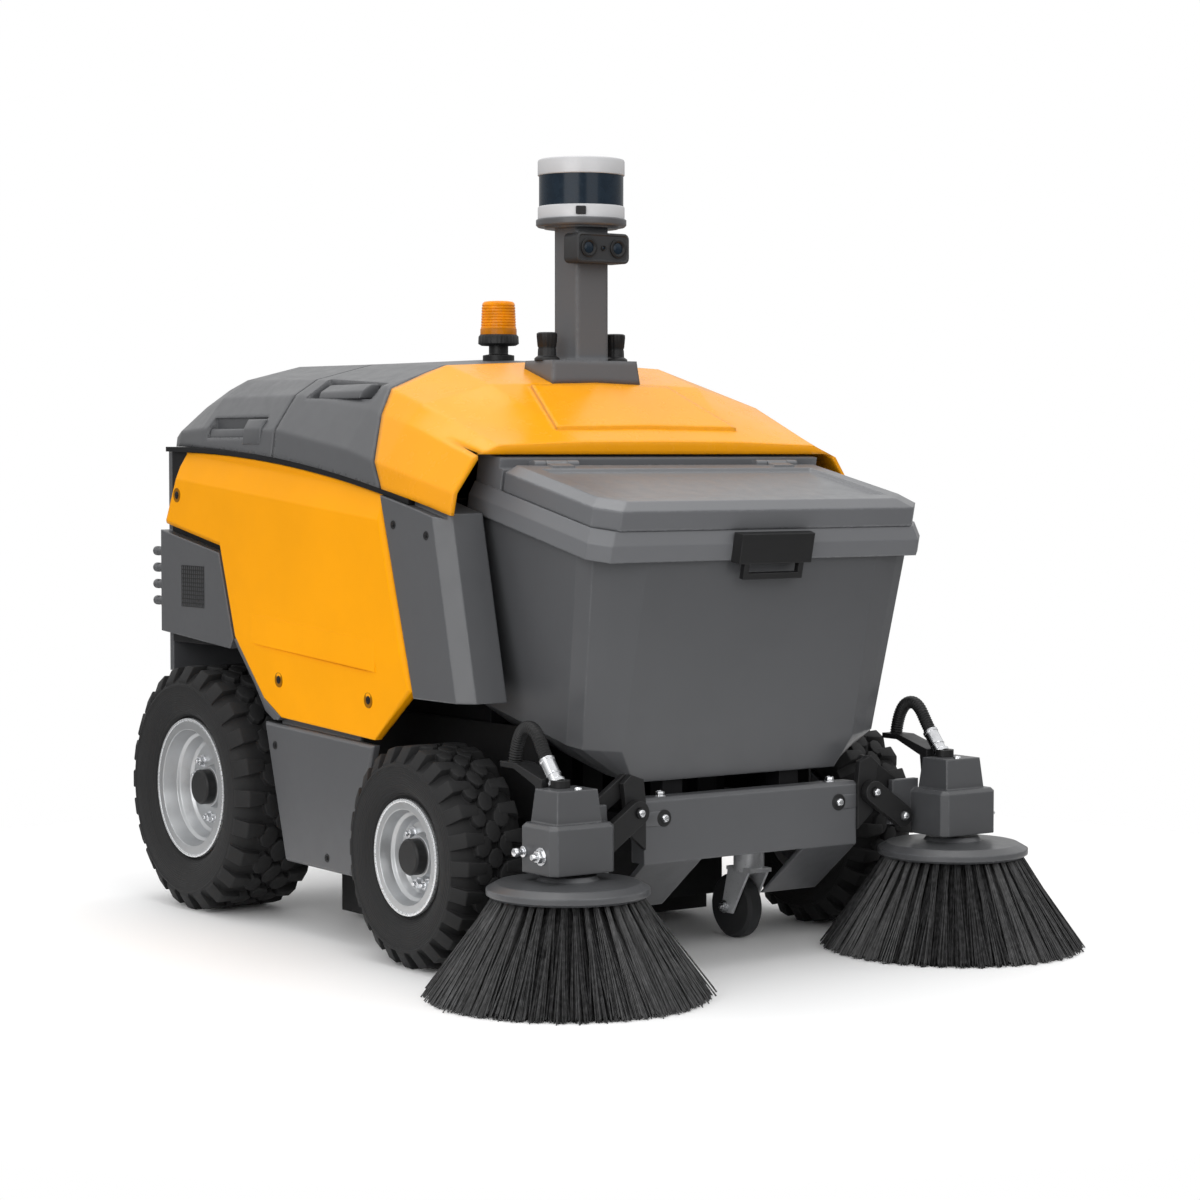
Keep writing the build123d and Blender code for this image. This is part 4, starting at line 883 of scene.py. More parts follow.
class SWEEPER_OT_wheel_nuts(bpy.types.Operator):
    """Put the bright nuts on the wheels' discs and the casters' axles, and the lips on the rims"""

    bl_idname = "sweeper.wheel_nuts"
    bl_label = "Wheel nuts"

    def execute(self, context):
        radius = sizes().nut_radius
        for end, side in WHEELS:
            way = sideways(SIDES[side])
            circle, out = NUTS[end]
            hub, half = spread(f"{end}_rim_{side}")
            places = []
            for angle in NUT_ANGLES:
                turn = math.radians(angle)
                around = Vector((0, circle * math.cos(turn), circle * math.sin(turn)))
                places.append(spot(hub + way * out + around, way))
            nuts = copies(hex_nut(radius, 0.008, 0.005), places)
            added(f"{end}_wheel_nuts_{side}", nuts, "zinc_steel", f"{end}_wheel_{side}")
            lip = turned([(half.z + past, half.x + over) for past, over in RIM_LIP], 96)
            move(lip, spot(hub, way))
            added(f"{end}_rim_lip_{side}", [lip], "rim_lip", f"{end}_wheel_{side}", angle=50)
        for side in SIDES:
            axle = spread(f"caster_wheel_{side}")[0]
            places = []
            for corner, sign in zip(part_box(f"caster_fork_{side}"), SIDES.values()):
                places.append(spot((corner.x, axle.y, axle.z), sideways(sign)))
            nuts = copies(hex_nut(radius, 0.005, 0.003), places)
            added(f"caster_nuts_{side}", nuts, "zinc_steel", f"caster_{side}")
        return {"FINISHED"}


# rows of tufts in a side brush: distance back from the outermost tips, and turn as a share of the pitch
TUFT_ROWS = ((0.0, 0.0), (0.013, 0.5), (0.026, 0.25), (0.034, 0.75))
TUFT_KINDS = 5
# distance from a tuft's root to its tip across, height that its root sinks into the disc, and the tips' inset
TUFT_LEAN = 0.097
TUFT_SINK = 0.004
TIP_IN = 0.004


class SWEEPER_OT_side_bristles(bpy.types.Operator):
    """Plant the splayed tufts of the two side brushes"""

    bl_idname = "sweeper.side_bristles"
    bl_label = "Side bristles"

    def execute(self, context):
        count = sizes().tufts
        for side in SIDES:
            node = f"bristles_{side}"
            axis, half = spread(node)
            draw = random.Random(f"bristles {side}")
            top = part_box(node)[1].z + TUFT_SINK
            masters = [self.tuft(draw, top) for _ in range(TUFT_KINDS)]
            places = [[] for _ in masters]
            for back, phase in TUFT_ROWS:
                for k in range(count):
                    spin = Matrix.Rotation(2 * math.pi * (k + phase) / count, 4, "Z")
                    reach = Matrix.Translation((half.x - TIP_IN - back, 0, 0))
                    place = Matrix.Translation((axis.x, axis.y, 0)) @ spin @ reach
                    places[draw.randrange(len(masters))].append(place)
            tufts = [tuft for master, spots in zip(masters, places) for tuft in copies(master, spots)]
            added(f"splayed_{node}", tufts, "bristle_black", f"side_brush_{side}", replaced=(node,), angle=60)
        return {"FINISHED"}

    def tuft(self, draw, top):
        """One tuft: filaments from a tight root to a loose tip at the origin."""
        strand = start(bpy.ops.mesh.primitive_cone_add, vertices=4, radius1=1, radius2=0.55, depth=1,
                       end_fill_type="NOTHING", location=(0, 0, -0.5))
        places = []
        for _ in range(sizes().strands):
            root = Vector((-TUFT_LEAN + draw.gauss(0, 0.002), draw.gauss(0, 0.002), top))
            end = Vector((draw.gauss(-0.004, 0.0055), draw.gauss(0, 0.0065), abs(draw.gauss(0, 0.004))))
            run = root - end
            thick = sizes().strand_radius * draw.uniform(0.8, 1.15)
            places.append(spot(root, run.normalized()) @ Matrix.Diagonal((thick, thick, run.length, 1)))
        return joined("tuft", copies(strand, places), 60)


# main broom: radius and rounding of its core, radius and length of its stub shafts, spacing of the tufts
# along it, space at its ends, and the winding of its rows from the middle to an end
CORE_RADIUS = 0.055
CORE_ROUND = (0.005, 0.01)
STUB = (0.012, 0.013)
TUFT_SPACING = 0.0115
BROOM_END = 0.008
BROOM_WIND = 1.1


class SWEEPER_OT_broom(bpy.types.Operator):
    """Make the main broom: core and winding rows of tufts"""

    bl_idname = "sweeper.broom"
    bl_label = "Main broom"

    def execute(self, context):
        axis, size = spread("main_broom")
        radius, shaft = size.z, size.x
        stub, stub_length = STUB
        half = shaft - stub_length
        root = CORE_RADIUS - CORE_ROUND[0]
        end = [(0, shaft), (stub, shaft), (stub, half), (root, half), (CORE_RADIUS, half - CORE_ROUND[1])]
        core = turned([(r, -h) for r, h in end] + end[::-1], 32)
        tuft = start(bpy.ops.mesh.primitive_cone_add, vertices=6, radius1=0.0045, radius2=0.008,
                     depth=radius - root, location=(0, 0, (radius + root) / 2))
        draw = random.Random("broom")
        rows = sizes().broom_rows
        count = int(2 * (half - BROOM_END) / TUFT_SPACING)
        places = []
        for row in range(rows):
            for k in range(count):
                along = -half + BROOM_END + (k + 0.5) * TUFT_SPACING
                angle = 2 * math.pi * row / rows + BROOM_WIND * along / half + draw.uniform(-0.02, 0.02)
                length = Matrix.Diagonal((1, 1, draw.uniform(0.975, 1), 1))
                spin = Matrix.Rotation(angle, 4, "Z")
                places.append(Matrix.Translation((0, 0, along)) @ spin @ towards((1, 0, 0)) @ length)
        pieces = [core] + copies(tuft, places)
        broom = added("tufted_broom", pieces, "bristle_black", "main_broom", replaced=("main_broom",),
                      angle=40)
        move(broom, spot(axis, (1, 0, 0)))
        return {"FINISHED"}


# screws on the left side, mirrored to the right: radius of their cups, finish and slot of the cups, and
# spots as place along, place up and distance out
SIDE_SCREWS = {
    # the panel's cups take painted shade: a much darker copy of the yellow
    "panel": (0.0115, "yellow_recess", "yellow_panel",
              ((0.5735, 0.688, 0.4), (0.2385, 0.399, 0.397), (-0.0325, 0.385, 0.3961))),
    "shoulder": (0.0065, "black_plastic", "black_plastic",
                 ((-0.1055, 0.652, 0.396), (-0.1965, 0.638, 0.396))),
    "skirt": (0.0065, "black_plastic", "black_plastic", ((0.2565, 0.293, 0.394), (0.0955, 0.13, 0.394))),
}
# dished seat of a screw with a low rim: share of its radius, and height
SCREW_CUP = ((1.08, -0.001), (1.04, 0.0006), (0.97, 0.0009), (0.9, 0.0005), (0.6, 0.0003), (0, 0.0003))


class SWEEPER_OT_side_screws(bpy.types.Operator):
    """Put the recessed screws on the side panels, shoulders and skirts"""

    bl_idname = "sweeper.side_screws"
    bl_label = "Side screws"

    def execute(self, context):
        for name, (radius, finish, slot, spots) in SIDE_SCREWS.items():
            places = []
            for sign in SIDES.values():
                places += [spot((sign * out, y, z), sideways(sign)) for y, z, out in spots]
            cup = turned([(radius * share, height) for share, height in SCREW_CUP], 32)
            added(f"{name}_screw_cups", copies(cup, places), finish)
            added(f"{name}_screws", copies(socket_bolt(radius * 0.55, 0.0018), places), "dark_frame")
        return {"FINISHED"}


# perforated patch: place along, up and out, its size, and the depth of its holes
VENT_PLACE = (0.5265, 0.5365)
VENT_OUT = 0.3968
VENT_SIZE = (0.078, 0.069)
VENT_DEPTH = 0.0012


class SWEEPER_OT_vents(bpy.types.Operator):
    """Make the perforated patch on each rear corner"""

    bl_idname = "sweeper.vents"
    bl_label = "Vent patches"

    def execute(self, context):
        patches = []
        for sign in SIDES.values():
            patch = start(bpy.ops.mesh.primitive_grid_add, x_subdivisions=11, y_subdivisions=10, size=1)
            inset(patch, everywhere, 0.02, each=True)
            extruded(patch, left_picked(patch), -VENT_DEPTH)
            size = Matrix.Diagonal((sign * VENT_SIZE[0], VENT_SIZE[1], 1, 1))
            patches.append(move(patch, on_side(sign, VENT_OUT) @ Matrix.Translation((*VENT_PLACE, 0)) @ size))
        added("vent_patches", patches, "black_plastic", angle=20)
        return {"FINISHED"}


# connector pegs: (radius, height) points of one, count, place of the lowest out, along and up, and spacing
PEG = ((0, -0.004), (0.009, -0.004), (0.009, 0.011), (0.006, 0.013), (0.006, 0.024), (0.008, 0.026),
       (0.008, 0.034), (0.0065, 0.036), (0, 0.036))
PEGS = 4
PEG_PLACE = (0.386, 0.6395, 0.508)
PEG_SPACING = 0.028


class SWEEPER_OT_rear_pegs(bpy.types.Operator):
    """Make the row of connector pegs at each rear corner"""

    bl_idname = "sweeper.rear_pegs"
    bl_label = "Rear pegs"

    def execute(self, context):
        out, along, up = PEG_PLACE
        places = []
        for sign in SIDES.values():
            places += [spot((sign * out, along, up + PEG_SPACING * k), -FORWARD) for k in range(PEGS)]
        added("rear_pegs", copies(turned(PEG, 16), places), "grey_plastic")
        return {"FINISHED"}


# bumper's bolts: place out and up of those in front, and out and back of those on top; the tabs' reach,
# half height and thickness; (radius, height) points of a washer, and its thickness
FRONT_BOLT = (0.165, 0.233)
TOP_BOLT = (0.16, 0.016)
TAB_REACH = (0.16, 0.2)
TAB_HALF_H = 0.011
TAB_T = 0.002
WASHER = ((0.0, 0.0012), (0.0095, 0.0012), (0.0115, 0.0016), (0.0125, 0.0012), (0.0125, -0.002))
WASHER_T = 0.0012


class SWEEPER_OT_bumper_bolts(bpy.types.Operator):
    """Put the bolts, their dark washers and the tabs on the bumper"""

    bl_idname = "sweeper.bumper_bolts"
    bl_label = "Bumper bolts"

    def execute(self, context):
        low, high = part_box("front_bumper")
        radius = sizes().bolt_radius
        front = []
        washers = []
        tops = []
        for sign in SIDES.values():
            place = Vector((sign * FRONT_BOLT[0], low.y, FRONT_BOLT[1]))
            front.append(spot(place + FORWARD * WASHER_T, FORWARD))
            washers.append(spot(place, FORWARD))
            tops.append(Matrix.Translation((sign * TOP_BOLT[0], low.y + TOP_BOLT[1], high.z)))
        bolts = copies(socket_bolt(radius, 0.006), front) + copies(hex_nut(radius * 1.05, 0.006, 0), tops)
        added("bumper_bolts", bolts, "zinc_steel")
        near, far = TAB_REACH
        tab = slab([(near, -TAB_HALF_H), (far, -TAB_HALF_H), (far, TAB_HALF_H), (near, TAB_HALF_H)], TAB_T)
        bevelled(tab, above(TAB_T * 0.45), 0.0008)
        ahead = across(low.y) @ Matrix.Translation((0, FRONT_BOLT[1], 0))
        added("bumper_tabs", copies(tab, [ahead, ahead @ Matrix.Diagonal((-1, 1, 1, 1))]), "grey_plastic")
        added("bumper_washers", copies(turned(WASHER, 32), washers), "black_plastic")
        return {"FINISHED"}


# brush motor's half width, and the arms' pins: place out from the middle and up
MOTOR_HALF_W = 0.055
PIN_INNER = (0.222, 0.246)
PIN_OUTER = (0.28, 0.206)
# fittings on the motor's outer side, as place along from the brush's axis and up; the bolt on its top, as
# place in from the axis and along; (radius, height) points of a grease fitting
GREASE_FITTING = (0.026, 0.206)
SIDE_NUT = (-0.014, 0.203)
TOP_SCREW = (0.006, -0.016)
GREASE_BALL = ((0, -0.002), (0.008, -0.002), (0.008, 0.004), (0.0042, 0.005), (0.0042, 0.01), (0.0066, 0.012),
               (0.007, 0.0155), (0.0055, 0.019), (0, 0.0205))


class SWEEPER_OT_motor_fittings(bpy.types.Operator):
    """Put the grease fittings and bolts on the brush motors and arms"""

    bl_idname = "sweeper.motor_fittings"
    bl_label = "Motor fittings"

    def execute(self, context):
        radius = sizes().bolt_radius * 0.9
        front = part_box("arm_brackets")[0].y
        for side, sign in SIDES.items():
            way = sideways(sign)
            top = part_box(f"brush_motor_{side}")[1].z
            axis = spread(f"brush_disc_{side}")[0]
            outer = axis.x + sign * MOTOR_HALF_W
            along, up = GREASE_FITTING
            pieces = [move(turned(GREASE_BALL, 20), spot((outer, axis.y + along, up), way))]
            along, up = SIDE_NUT
            pieces.append(move(hex_nut(0.0095, 0.007, 0.008), spot((outer, axis.y + along, up), way)))
            screw = Matrix.Translation((axis.x - sign * TOP_SCREW[0], axis.y + TOP_SCREW[1], top))
            pin = spot((sign * PIN_OUTER[0], front, PIN_OUTER[1]), FORWARD)
            pieces += copies(socket_bolt(radius, 0.004), [screw, pin])
            added(f"motor_fittings_{side}", pieces, "zinc_steel", f"brush_head_{side}")
            pin = spot((sign * PIN_INNER[0], front, PIN_INNER[1]), FORWARD)
            added(f"arm_bolt_{side}", [move(socket_bolt(radius, 0.004), pin)], "zinc_steel")
        return {"FINISHED"}


# rotating sensor: rounding of its cap, height of its flange's top over the rings' foot, thickness of the
# flange and its reach past the rings, and size of the port
CAP_ROUND = 0.004
FLANGE_TOP = 0.0065
FLANGE_T = 0.012
FLANGE_OUT = 0.0028
PORT_SIZE = (0.016, 0.004, 0.013)


class SWEEPER_OT_lidar(bpy.types.Operator):
    """Make the rotating sensor: bright cap and ring, dark window, flange and a port"""

    bl_idname = "sweeper.lidar"
    bl_label = "Rotating sensor"

    def execute(self, context):
        low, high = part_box("lidar_rings")
        base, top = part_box("lidar_window")
        axis, half = spread("lidar_rings")
        radius = half.x
        glass = (top.x - base.x) / 2
        foot = low.z + FLANGE_TOP
        wide = radius + FLANGE_OUT
        under = foot - FLANGE_T
        cap = [(0, top.z), (radius - 0.001, top.z), (radius, top.z + 0.001), (radius, high.z - CAP_ROUND),
               (radius - 0.3 * CAP_ROUND, high.z - 0.3 * CAP_ROUND), (radius - CAP_ROUND, high.z),
               (0, high.z)]
        ring = [(0, foot), (radius, foot), (radius, base.z - 0.002), (radius - 0.001, base.z - 0.0005),
                (glass, base.z), (0, base.z)]
        window = [(glass, base.z), (glass, top.z)]
        flange = [(0, under), (wide - 0.003, under), (wide, under + 0.003), (wide, foot - 0.001),
                  (wide - 0.001, foot), (0, foot)]
        rows = (("sensor_rings", (cap, ring), "lidar_silver", ("lidar_rings",)),
                ("sensor_window", (window,), "lidar_dark", ("lidar_window",)),
                ("sensor_flange", (flange,), "grey_plastic", ()))
        upright = Matrix.Translation((axis.x, axis.y, 0))
        for name, profiles, finish, replaced in rows:
            pieces = [move(turned(profile, 96), upright) for profile in profiles]
            added(name, pieces, finish, replaced=replaced)
        port = move(start(bpy.ops.mesh.primitive_cube_add, size=1), Matrix.Diagonal((*PORT_SIZE, 1)))
        bevelled(port, corners(0.007, 0.006), 0.002)
        inset(port, facing(FORWARD), 0.002)
        turn = Matrix.Rotation(context.scene.sweeper_studio.heading, 4, "Z")
        out = Matrix.Translation((0, -radius - 0.0005, (foot + base.z) / 2))
        added("sensor_port", [move(port, upright @ turn @ out)], "black_plastic")
        return {"FINISHED"}


LENS_RINGS = 8
# shares of the lens's radius at its foot and its top ring; heights of its foot band and its plain crown
LENS_WIDE = (0.97, 0.92)
LENS_FOOT = 0.0105
LENS_CROWN = 0.008
# one ring of the lens: depth of its points, and heights as shares of a ring
LENS_RING = ((0, 0), (0.0004, 0.7), (0.0014, 0.8), (0.0014, 0.95))
# grip ring under the lens: share of the lens's radius, and height
BEACON_GRIP = ((0.95, -0.018), (1.12, -0.015), (1.1, -0.003), (1, 0))


class SWEEPER_OT_beacon(bpy.types.Operator):
    """Make the ribbed amber lens of the beacon and the grip ring under it"""

    bl_idname = "sweeper.beacon"
    bl_label = "Beacon"

    def execute(self, context):
        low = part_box("beacon_lens")[0]
        axis, half = spread("beacon_lens")
        radius = half.x
        tall = half.z * 2
        step = (tall - LENS_FOOT - LENS_CROWN) / LENS_RINGS
        near, far = LENS_WIDE
        profile = [(radius * near, LENS_FOOT)]
        for k in range(LENS_RINGS):
            wide = radius * (near + (far - near) * k / LENS_RINGS)
            profile += [(wide - depth, LENS_FOOT + (k + share) * step) for depth, share in LENS_RING]
        profile += [(radius * 0.91, tall - 0.007), (radius * 0.87, tall - 0.003),
                    (radius * 0.78, tall - 0.0008), (radius * 0.6, tall), (0, tall)]
        place = Matrix.Translation((axis.x, axis.y, low.z))
        lens = move(turned(profile, 64), place)
        added("ribbed_lens", [lens], "amber_lens", replaced=("beacon_lens",), angle=50)
        band = turned([(radius, 0), (radius, 0.009), (radius * near, LENS_FOOT)], 64)
        added("lens_foot", [move(band, place)], "amber_foot")
        grip = fluted([(radius * share, height) for share, height in BEACON_GRIP], 30, 0.02, -0.016, -0.002)
        move(grip, Matrix.Translation((axis.x, axis.y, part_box("beacon_base")[1].z)))
        added("beacon_grip", [grip], "black_plastic", angle=50)
        return {"FINISHED"}


class SWEEPER_OT_knobs(bpy.types.Operator):
    """Make the ribbed knobs at the mast's foot"""

    bl_idname = "sweeper.knobs"
    bl_label = "Mast knobs"

    def execute(self, context):
        low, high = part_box("mast_knobs")
        axis, half = spread("mast_knobs")
        foot = half.y
        tall = high.z - low.z
        grip = foot * 0.74
        profile = [(foot, 0), (foot, 0.003), (foot * 0.9, 0.005), (grip, 0.007), (grip * 0.98, tall * 0.4),
                   (grip * 0.92, tall * 0.44), (grip * 1.02, tall * 0.5), (grip * 1.12, tall * 0.86),
                   (grip * 1.1, tall * 0.96), (grip * 0.9, tall), (0, tall)]
        places = [Matrix.Translation((x, axis.y, low.z)) for x in (low.x + foot, high.x - foot)]
        knobs = copies(fluted(profile, 14, 0.07, 0.008, tall * 0.9), places)
        added("ribbed_knobs", knobs, "black_plastic", replaced=("mast_knobs",), angle=50)
        return {"FINISHED"}


# lower rear arch of the side panels: (y, z) points of the trim along the panel's edge, place of its middle
# out, and its thickness
ARCH_TRIM = ((0.3915, 0.456), (0.378, 0.44), (0.322, 0.385), (0.288, 0.3455), (0.262, 0.3335),
             (0.2485, 0.3335), (0.2405, 0.34), (0.2915, 0.366), (0.3815, 0.458))
ARCH_OUT = 0.38225
ARCH_T = 0.0245


class SWEEPER_OT_arch_trim(bpy.types.Operator):
    """Make the grey trim along the rear wheel arches"""

    bl_idname = "sweeper.arch_trim"
    bl_label = "Arch trim"

    def execute(self, context):
        trim = slab(ARCH_TRIM, ARCH_T)
        bevelled(trim, above(ARCH_T * 0.49), 0.002)
        added("arch_trim", copies(trim, [on_side(sign, ARCH_OUT) for sign in SIDES.values()]), "grey_plastic")
        return {"FINISHED"}


# crease low on the side panels: outline of its raised wedge as (y, z) points, the points where its step
# stands out, the panel's face, the wedge's reach out of it and into it, and its height where it runs out
CREASE = ((0.322, 0.454), (0.285, 0.4513), (-0.02, 0.4311), (-0.058, 0.4286), (-0.058, 0.475), (0.322, 0.5))
CREASE_STEP = CREASE[1:3]
PANEL_OUT = 0.4
CREASE_HEIGHT = 0.0025
CREASE_END = 0.0001


class SWEEPER_OT_panel_creases(bpy.types.Operator):
    """Raise the faint crease low on each side panel"""

    bl_idname = "sweeper.panel_creases"
    bl_label = "Panel creases"

    def execute(self, context):
        def flush(vertex):
            at_step = any(math.hypot(vertex.co.x - y, vertex.co.y - z) < 0.001 for y, z in CREASE_STEP)
            return vertex.co.z > 0 and not at_step

        crease = slab(CREASE, 2 * CREASE_HEIGHT)
        shape(crease, "VERT", flush, bpy.ops.transform.translate, value=(0, 0, CREASE_END - CREASE_HEIGHT))
        creases = copies(crease, [on_side(sign, PANEL_OUT) for sign in SIDES.values()])
        added("panel_creases", creases, "yellow_crease", angle=20)
        return {"FINISHED"}


# rubber flaps round the main broom: outlines of a side flap and of the liner over it as (y, z) points,
# their place out, the front flap's top and place behind the housing's edge, and the thickness
SIDE_FLAP = ((-0.034, 0.012), (0.289, 0.012), (0.289, 0.19), (0.277, 0.186), (0.168, 0.108), (0.087, 0.108),
             (-0.022, 0.186), (-0.034, 0.19))
SIDE_LINER = ((-0.3, 0.215), (-0.034, 0.215), (-0.034, 0.185), (0.289, 0.185), (0.289, 0.352), (-0.3, 0.352))
SIDE_FLAP_OUT = 0.25
FRONT_FLAP_TOP = 0.112
FRONT_FLAP_BACK = 0.003
FLAP_T = 0.004
# dirt deflector between the front wheels: its outline as (x, z) points, and its place along
DEFLECTOR = rectangle(0.215, 0.05, 0.215)
DEFLECTOR_Y = -0.12


class SWEEPER_OT_flaps(bpy.types.Operator):
    """Hang the rubber flaps and the liners round the main broom, and the deflector ahead of it"""

    bl_idname = "sweeper.flaps"
    bl_label = "Broom flaps"

    def execute(self, context):
        front = rectangle(SIDE_FLAP_OUT, SIDE_FLAP[0][1], FRONT_FLAP_TOP)
        front_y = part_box("broom_housing")[0].y + FRONT_FLAP_BACK
        flaps = []
        for sign in SIDES.values():
            for outline in (SIDE_FLAP, SIDE_LINER):
                flaps.append(move(slab(outline, FLAP_T), on_side(sign, SIDE_FLAP_OUT)))
        for outline, y in ((front, front_y), (DEFLECTOR, DEFLECTOR_Y)):
            flaps.append(move(slab(outline, FLAP_T), across(y)))
        added("broom_flaps", flaps, "hose_black")
        return {"FINISHED"}


# grips of each body, each an (x, z) section and where it runs from and to along the body, on the left side
GRIPS = {
    "hood_grips": ("rear_hood", (
        (((0.3925, 0.772), (0.3895, 0.798), (0.381, 0.813), (0.366, 0.813), (0.366, 0.772)), 0.3075, 0.363),
        (((0.3875, 0.783), (0.3835, 0.798), (0.369, 0.798), (0.369, 0.783)), 0.363, 0.482))),
    "scoop_grips": ("body", (
        (((0.345, 0.843), (0.341, 0.855), (0.322, 0.866), (0.307, 0.866), (0.307, 0.843)), 0.075, 0.2),)),
}


class SWEEPER_OT_grips(bpy.types.Operator):
    """Put the grip blocks in the hood's slots and the mid cover's scoops"""

    bl_idname = "sweeper.grips"
    bl_label = "Grips"

    def execute(self, context):
        for name, (body, grips) in GRIPS.items():
            pieces = []
            for section, near, far in grips:
                grip = slab(section, far - near)
                bevelled(grip, everywhere, 0.0025, 3)
                place = behind((near + far) / 2)
                pieces += copies(grip, [place @ Matrix.Diagonal((sign, 1, 1, 1)) for sign in SIDES.values()])
            added(name, pieces, "grey_plastic", body)
        return {"FINISHED"}


# distance that the hood's hinges stand out behind the rear shell
REAR_HINGE_OUT = 0.028
# rear door: half its width, its low and high edge, and the cut of its corners
DOOR_HALF_W = 0.27
DOOR_LOW = 0.47
DOOR_HIGH = 0.715
DOOR_CUT = 0.03
# louvres: half the length and height of one, places of the two banks, count, height of the lowest and spacing
LOUVRE = (0.09, 0.006)
LOUVRE_BANKS = (-0.125, 0.125)
LOUVRES = 8
LOUVRE_LOW = 0.515
LOUVRE_SPACING = 0.019
# turn locks: (radius, height) points of the barrel, places across and down from the door's high edge, and
# half size of the bar
LOCK = ((0.013, -0.002), (0.013, 0.003), (0.011, 0.005), (0.0095, 0.0035), (0, 0.0035))
LOCK_ACROSS = (-0.2, 0.2)
LOCK_DOWN = 0.03
LOCK_BAR = (0.009, 0.0018)


class SWEEPER_OT_rear_door(bpy.types.Operator):
    """Make the service door in the rear shell, with its louvres and turn locks"""

    bl_idname = "sweeper.rear_door"
    bl_label = "Rear door"

    def execute(self, context):
        upright = behind(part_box("rear_shell")[1].y - REAR_HINGE_OUT)
        wide, low, high, cut = DOOR_HALF_W, DOOR_LOW, DOOR_HIGH, DOOR_CUT
        outline = [(-wide, low + cut), (cut - wide, low), (wide - cut, low), (wide, low + cut),
                   (wide, high - cut), (wide - cut, high), (cut - wide, high), (-wide, high - cut)]
        door = slab(outline, 0.008)
        inset(door, facing(UP), 0.012)
        extruded(door, left_picked(door), 0.003)
        added("rear_door", [move(door, upright)], "grey_plastic")
        louvre = slab(rectangle(LOUVRE[0], -LOUVRE[1], LOUVRE[1]), 0.012)
        shape(louvre, "VERT", lambda v: v.co.z > 0 and v.co.y > 0, bpy.ops.transform.translate,
              value=(0, 0, -0.01))
        bevelled(louvre, everywhere, 0.001)
        places = []
        for x in LOUVRE_BANKS:
            for k in range(LOUVRES):
                places.append(upright @ Matrix.Translation((x, LOUVRE_LOW + LOUVRE_SPACING * k, 0.01)))
        added("rear_louvres", copies(louvre, places), "black_plastic")
        barrel = turned(LOCK, 32)
        bar = slab(rectangle(LOCK_BAR[0], -LOCK_BAR[1], LOCK_BAR[1]), 0.006)
        bevelled(bar, above(0.002), 0.001)
        move(bar, Matrix.Translation((0, 0, 0.004)))
        places = [upright @ Matrix.Translation((x, high - LOCK_DOWN, 0.007)) for x in LOCK_ACROSS]
        added("door_locks", copies(joined("lock", [barrel, bar]), places), "black_plastic")
        return {"FINISHED"}


# what the camera's body grows past its node at the front and low side, and at the back and high side
CAMERA_LOW = Vector((0, -0.0035, -0.0025))
CAMERA_HIGH = Vector((0, 0.0065, 0.0025))
# lenses and light: place across, and radius; ring and glass of one as shares of its radius, and heights
CAMERA_EYES = ((-0.028, 0.011), (0.028, 0.011), (0.0, 0.003))
EYE_RING = ((1.35, -0.001), (1.35, 0.0025), (1.05, 0.003), (0.8, 0.0008))
EYE_GLASS = ((0.85, 0.0), (0.6, 0.0014), (0, 0.002))


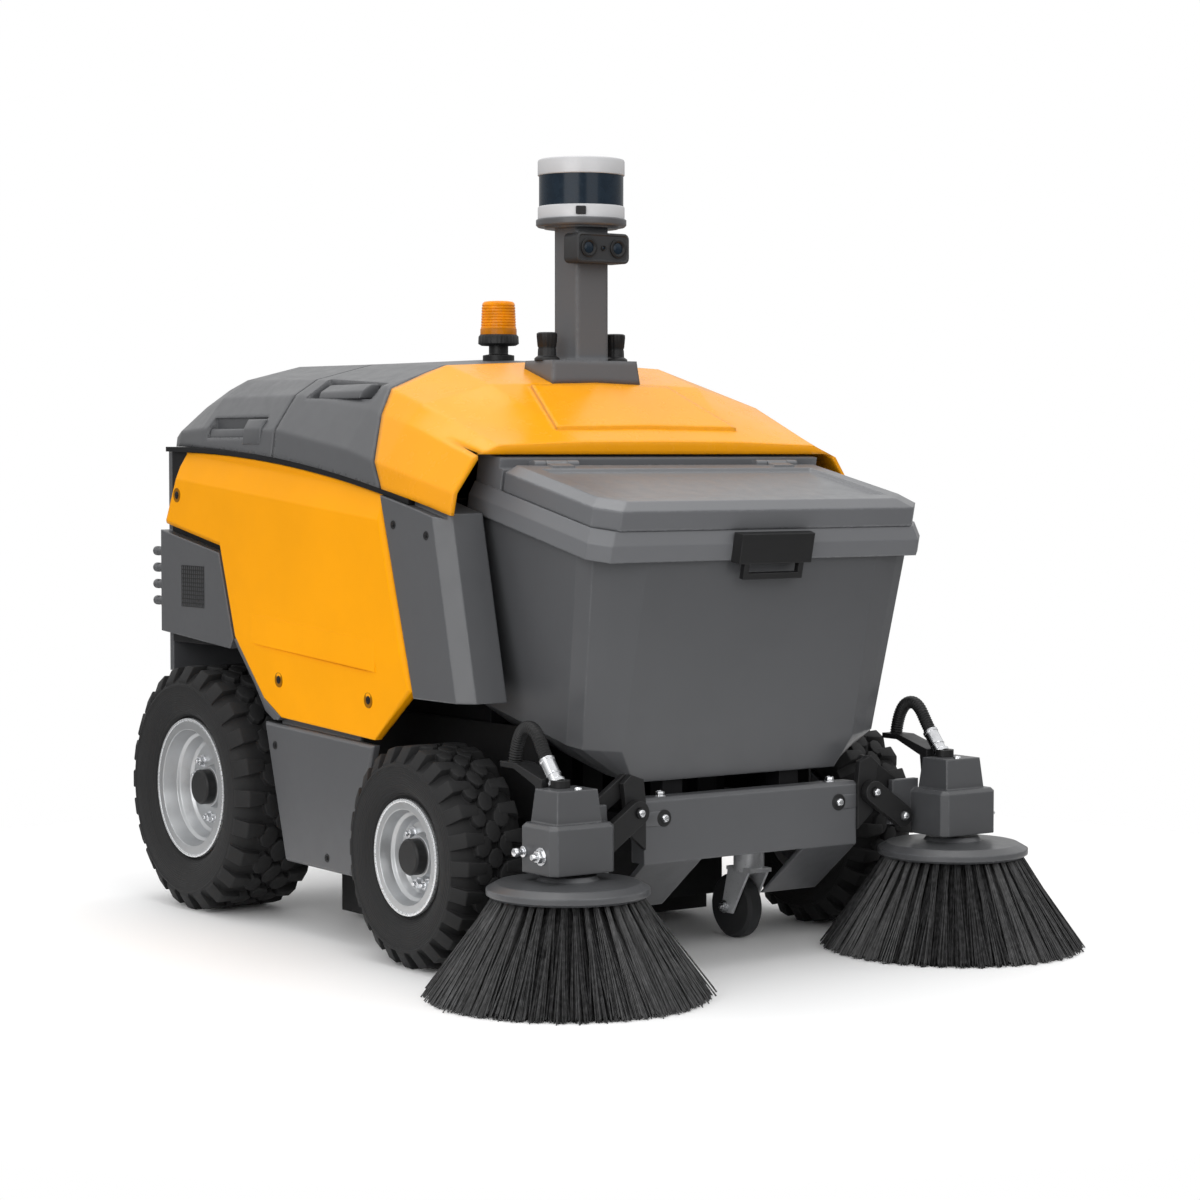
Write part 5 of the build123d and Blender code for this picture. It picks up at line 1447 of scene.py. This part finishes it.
class SWEEPER_OT_stereo_camera(bpy.types.Operator):
    """Make the stereo camera: rounded body with a bezel, two lenses and a small light"""

    bl_idname = "sweeper.stereo_camera"
    bl_label = "Stereo camera"

    def execute(self, context):
        low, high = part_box("stereo_camera")
        low += CAMERA_LOW
        high += CAMERA_HIGH
        centre = (low + high) / 2
        body = move(start(bpy.ops.mesh.primitive_cube_add, size=1), Matrix.Diagonal((*(high - low), 1)))
        bevelled(body, corners(0.04, 0.01), 0.009, 4)
        inset(body, facing(FORWARD), 0.003)
        self.shift(body, -0.0015)
        inset(body, left_picked(body), 0.002)
        self.shift(body, 0.002)
        move(body, Matrix.Translation(centre))
        added("camera_body", [body], "camera_grey", replaced=("stereo_camera",))
        for name, profile, finish in (("camera_rings", EYE_RING, "black_plastic"),
                                      ("camera_eyes", EYE_GLASS, "lidar_dark")):
            pieces = []
            for x, radius in CAMERA_EYES:
                eye = turned([(radius * share, height) for share, height in profile], 32)
                pieces.append(move(eye, spot((x, low.y, centre.z), FORWARD)))
            added(name, pieces, finish)
        return {"FINISHED"}

    def shift(self, body, depth):
        """Moves the faces that were left selected back by a depth."""
        shape(body, "FACE", left_picked(body), bpy.ops.transform.translate, value=(0, depth, 0))


OPERATORS = (
    SWEEPER_OT_stage,
    SWEEPER_OT_finishes,
    SWEEPER_OT_hoses,
    SWEEPER_OT_tyres,
    SWEEPER_OT_wheel_nuts,
    SWEEPER_OT_side_bristles,
    SWEEPER_OT_broom,
    SWEEPER_OT_side_screws,
    SWEEPER_OT_vents,
    SWEEPER_OT_rear_pegs,
    SWEEPER_OT_bumper_bolts,
    SWEEPER_OT_motor_fittings,
    SWEEPER_OT_lidar,
    SWEEPER_OT_beacon,
    SWEEPER_OT_knobs,
    SWEEPER_OT_arch_trim,
    SWEEPER_OT_panel_creases,
    SWEEPER_OT_flaps,
    SWEEPER_OT_grips,
    SWEEPER_OT_rear_door,
    SWEEPER_OT_stereo_camera,
)


class SWEEPER_PT_tools(bpy.types.Panel):
    """Lists the pieces and settings of the sweeper"""

    bl_idname = "SWEEPER_PT_tools"
    bl_label = "Sweeper"
    bl_space_type = "VIEW_3D"
    bl_region_type = "UI"
    bl_category = "Sweeper"

    def draw(self, context):
        for name in GROUPS:
            group = getattr(context.scene, name)
            box = self.layout.box()
            for setting in group.__annotations__:
                box.prop(group, setting)
        for operator in OPERATORS:
            self.layout.operator(operator.bl_idname)


GROUPS = {"sweeper_colours": SweeperColours, "sweeper_sizes": SweeperSizes, "sweeper_studio": SweeperStudio}


def register():
    for name, group in GROUPS.items():
        bpy.utils.register_class(group)
        setattr(bpy.types.Scene, name, bpy.props.PointerProperty(type=group))
    for item in (*OPERATORS, SWEEPER_PT_tools):
        bpy.utils.register_class(item)


def unregister():
    for item in (SWEEPER_PT_tools, *reversed(OPERATORS)):
        bpy.utils.unregister_class(item)
    for name, group in GROUPS.items():
        delattr(bpy.types.Scene, name)
        bpy.utils.unregister_class(group)


def main():
    register()
    for operator in OPERATORS:
        family, name = operator.bl_idname.split(".")
        getattr(getattr(bpy.ops, family), name)()


if __name__ == "__main__":
    main()
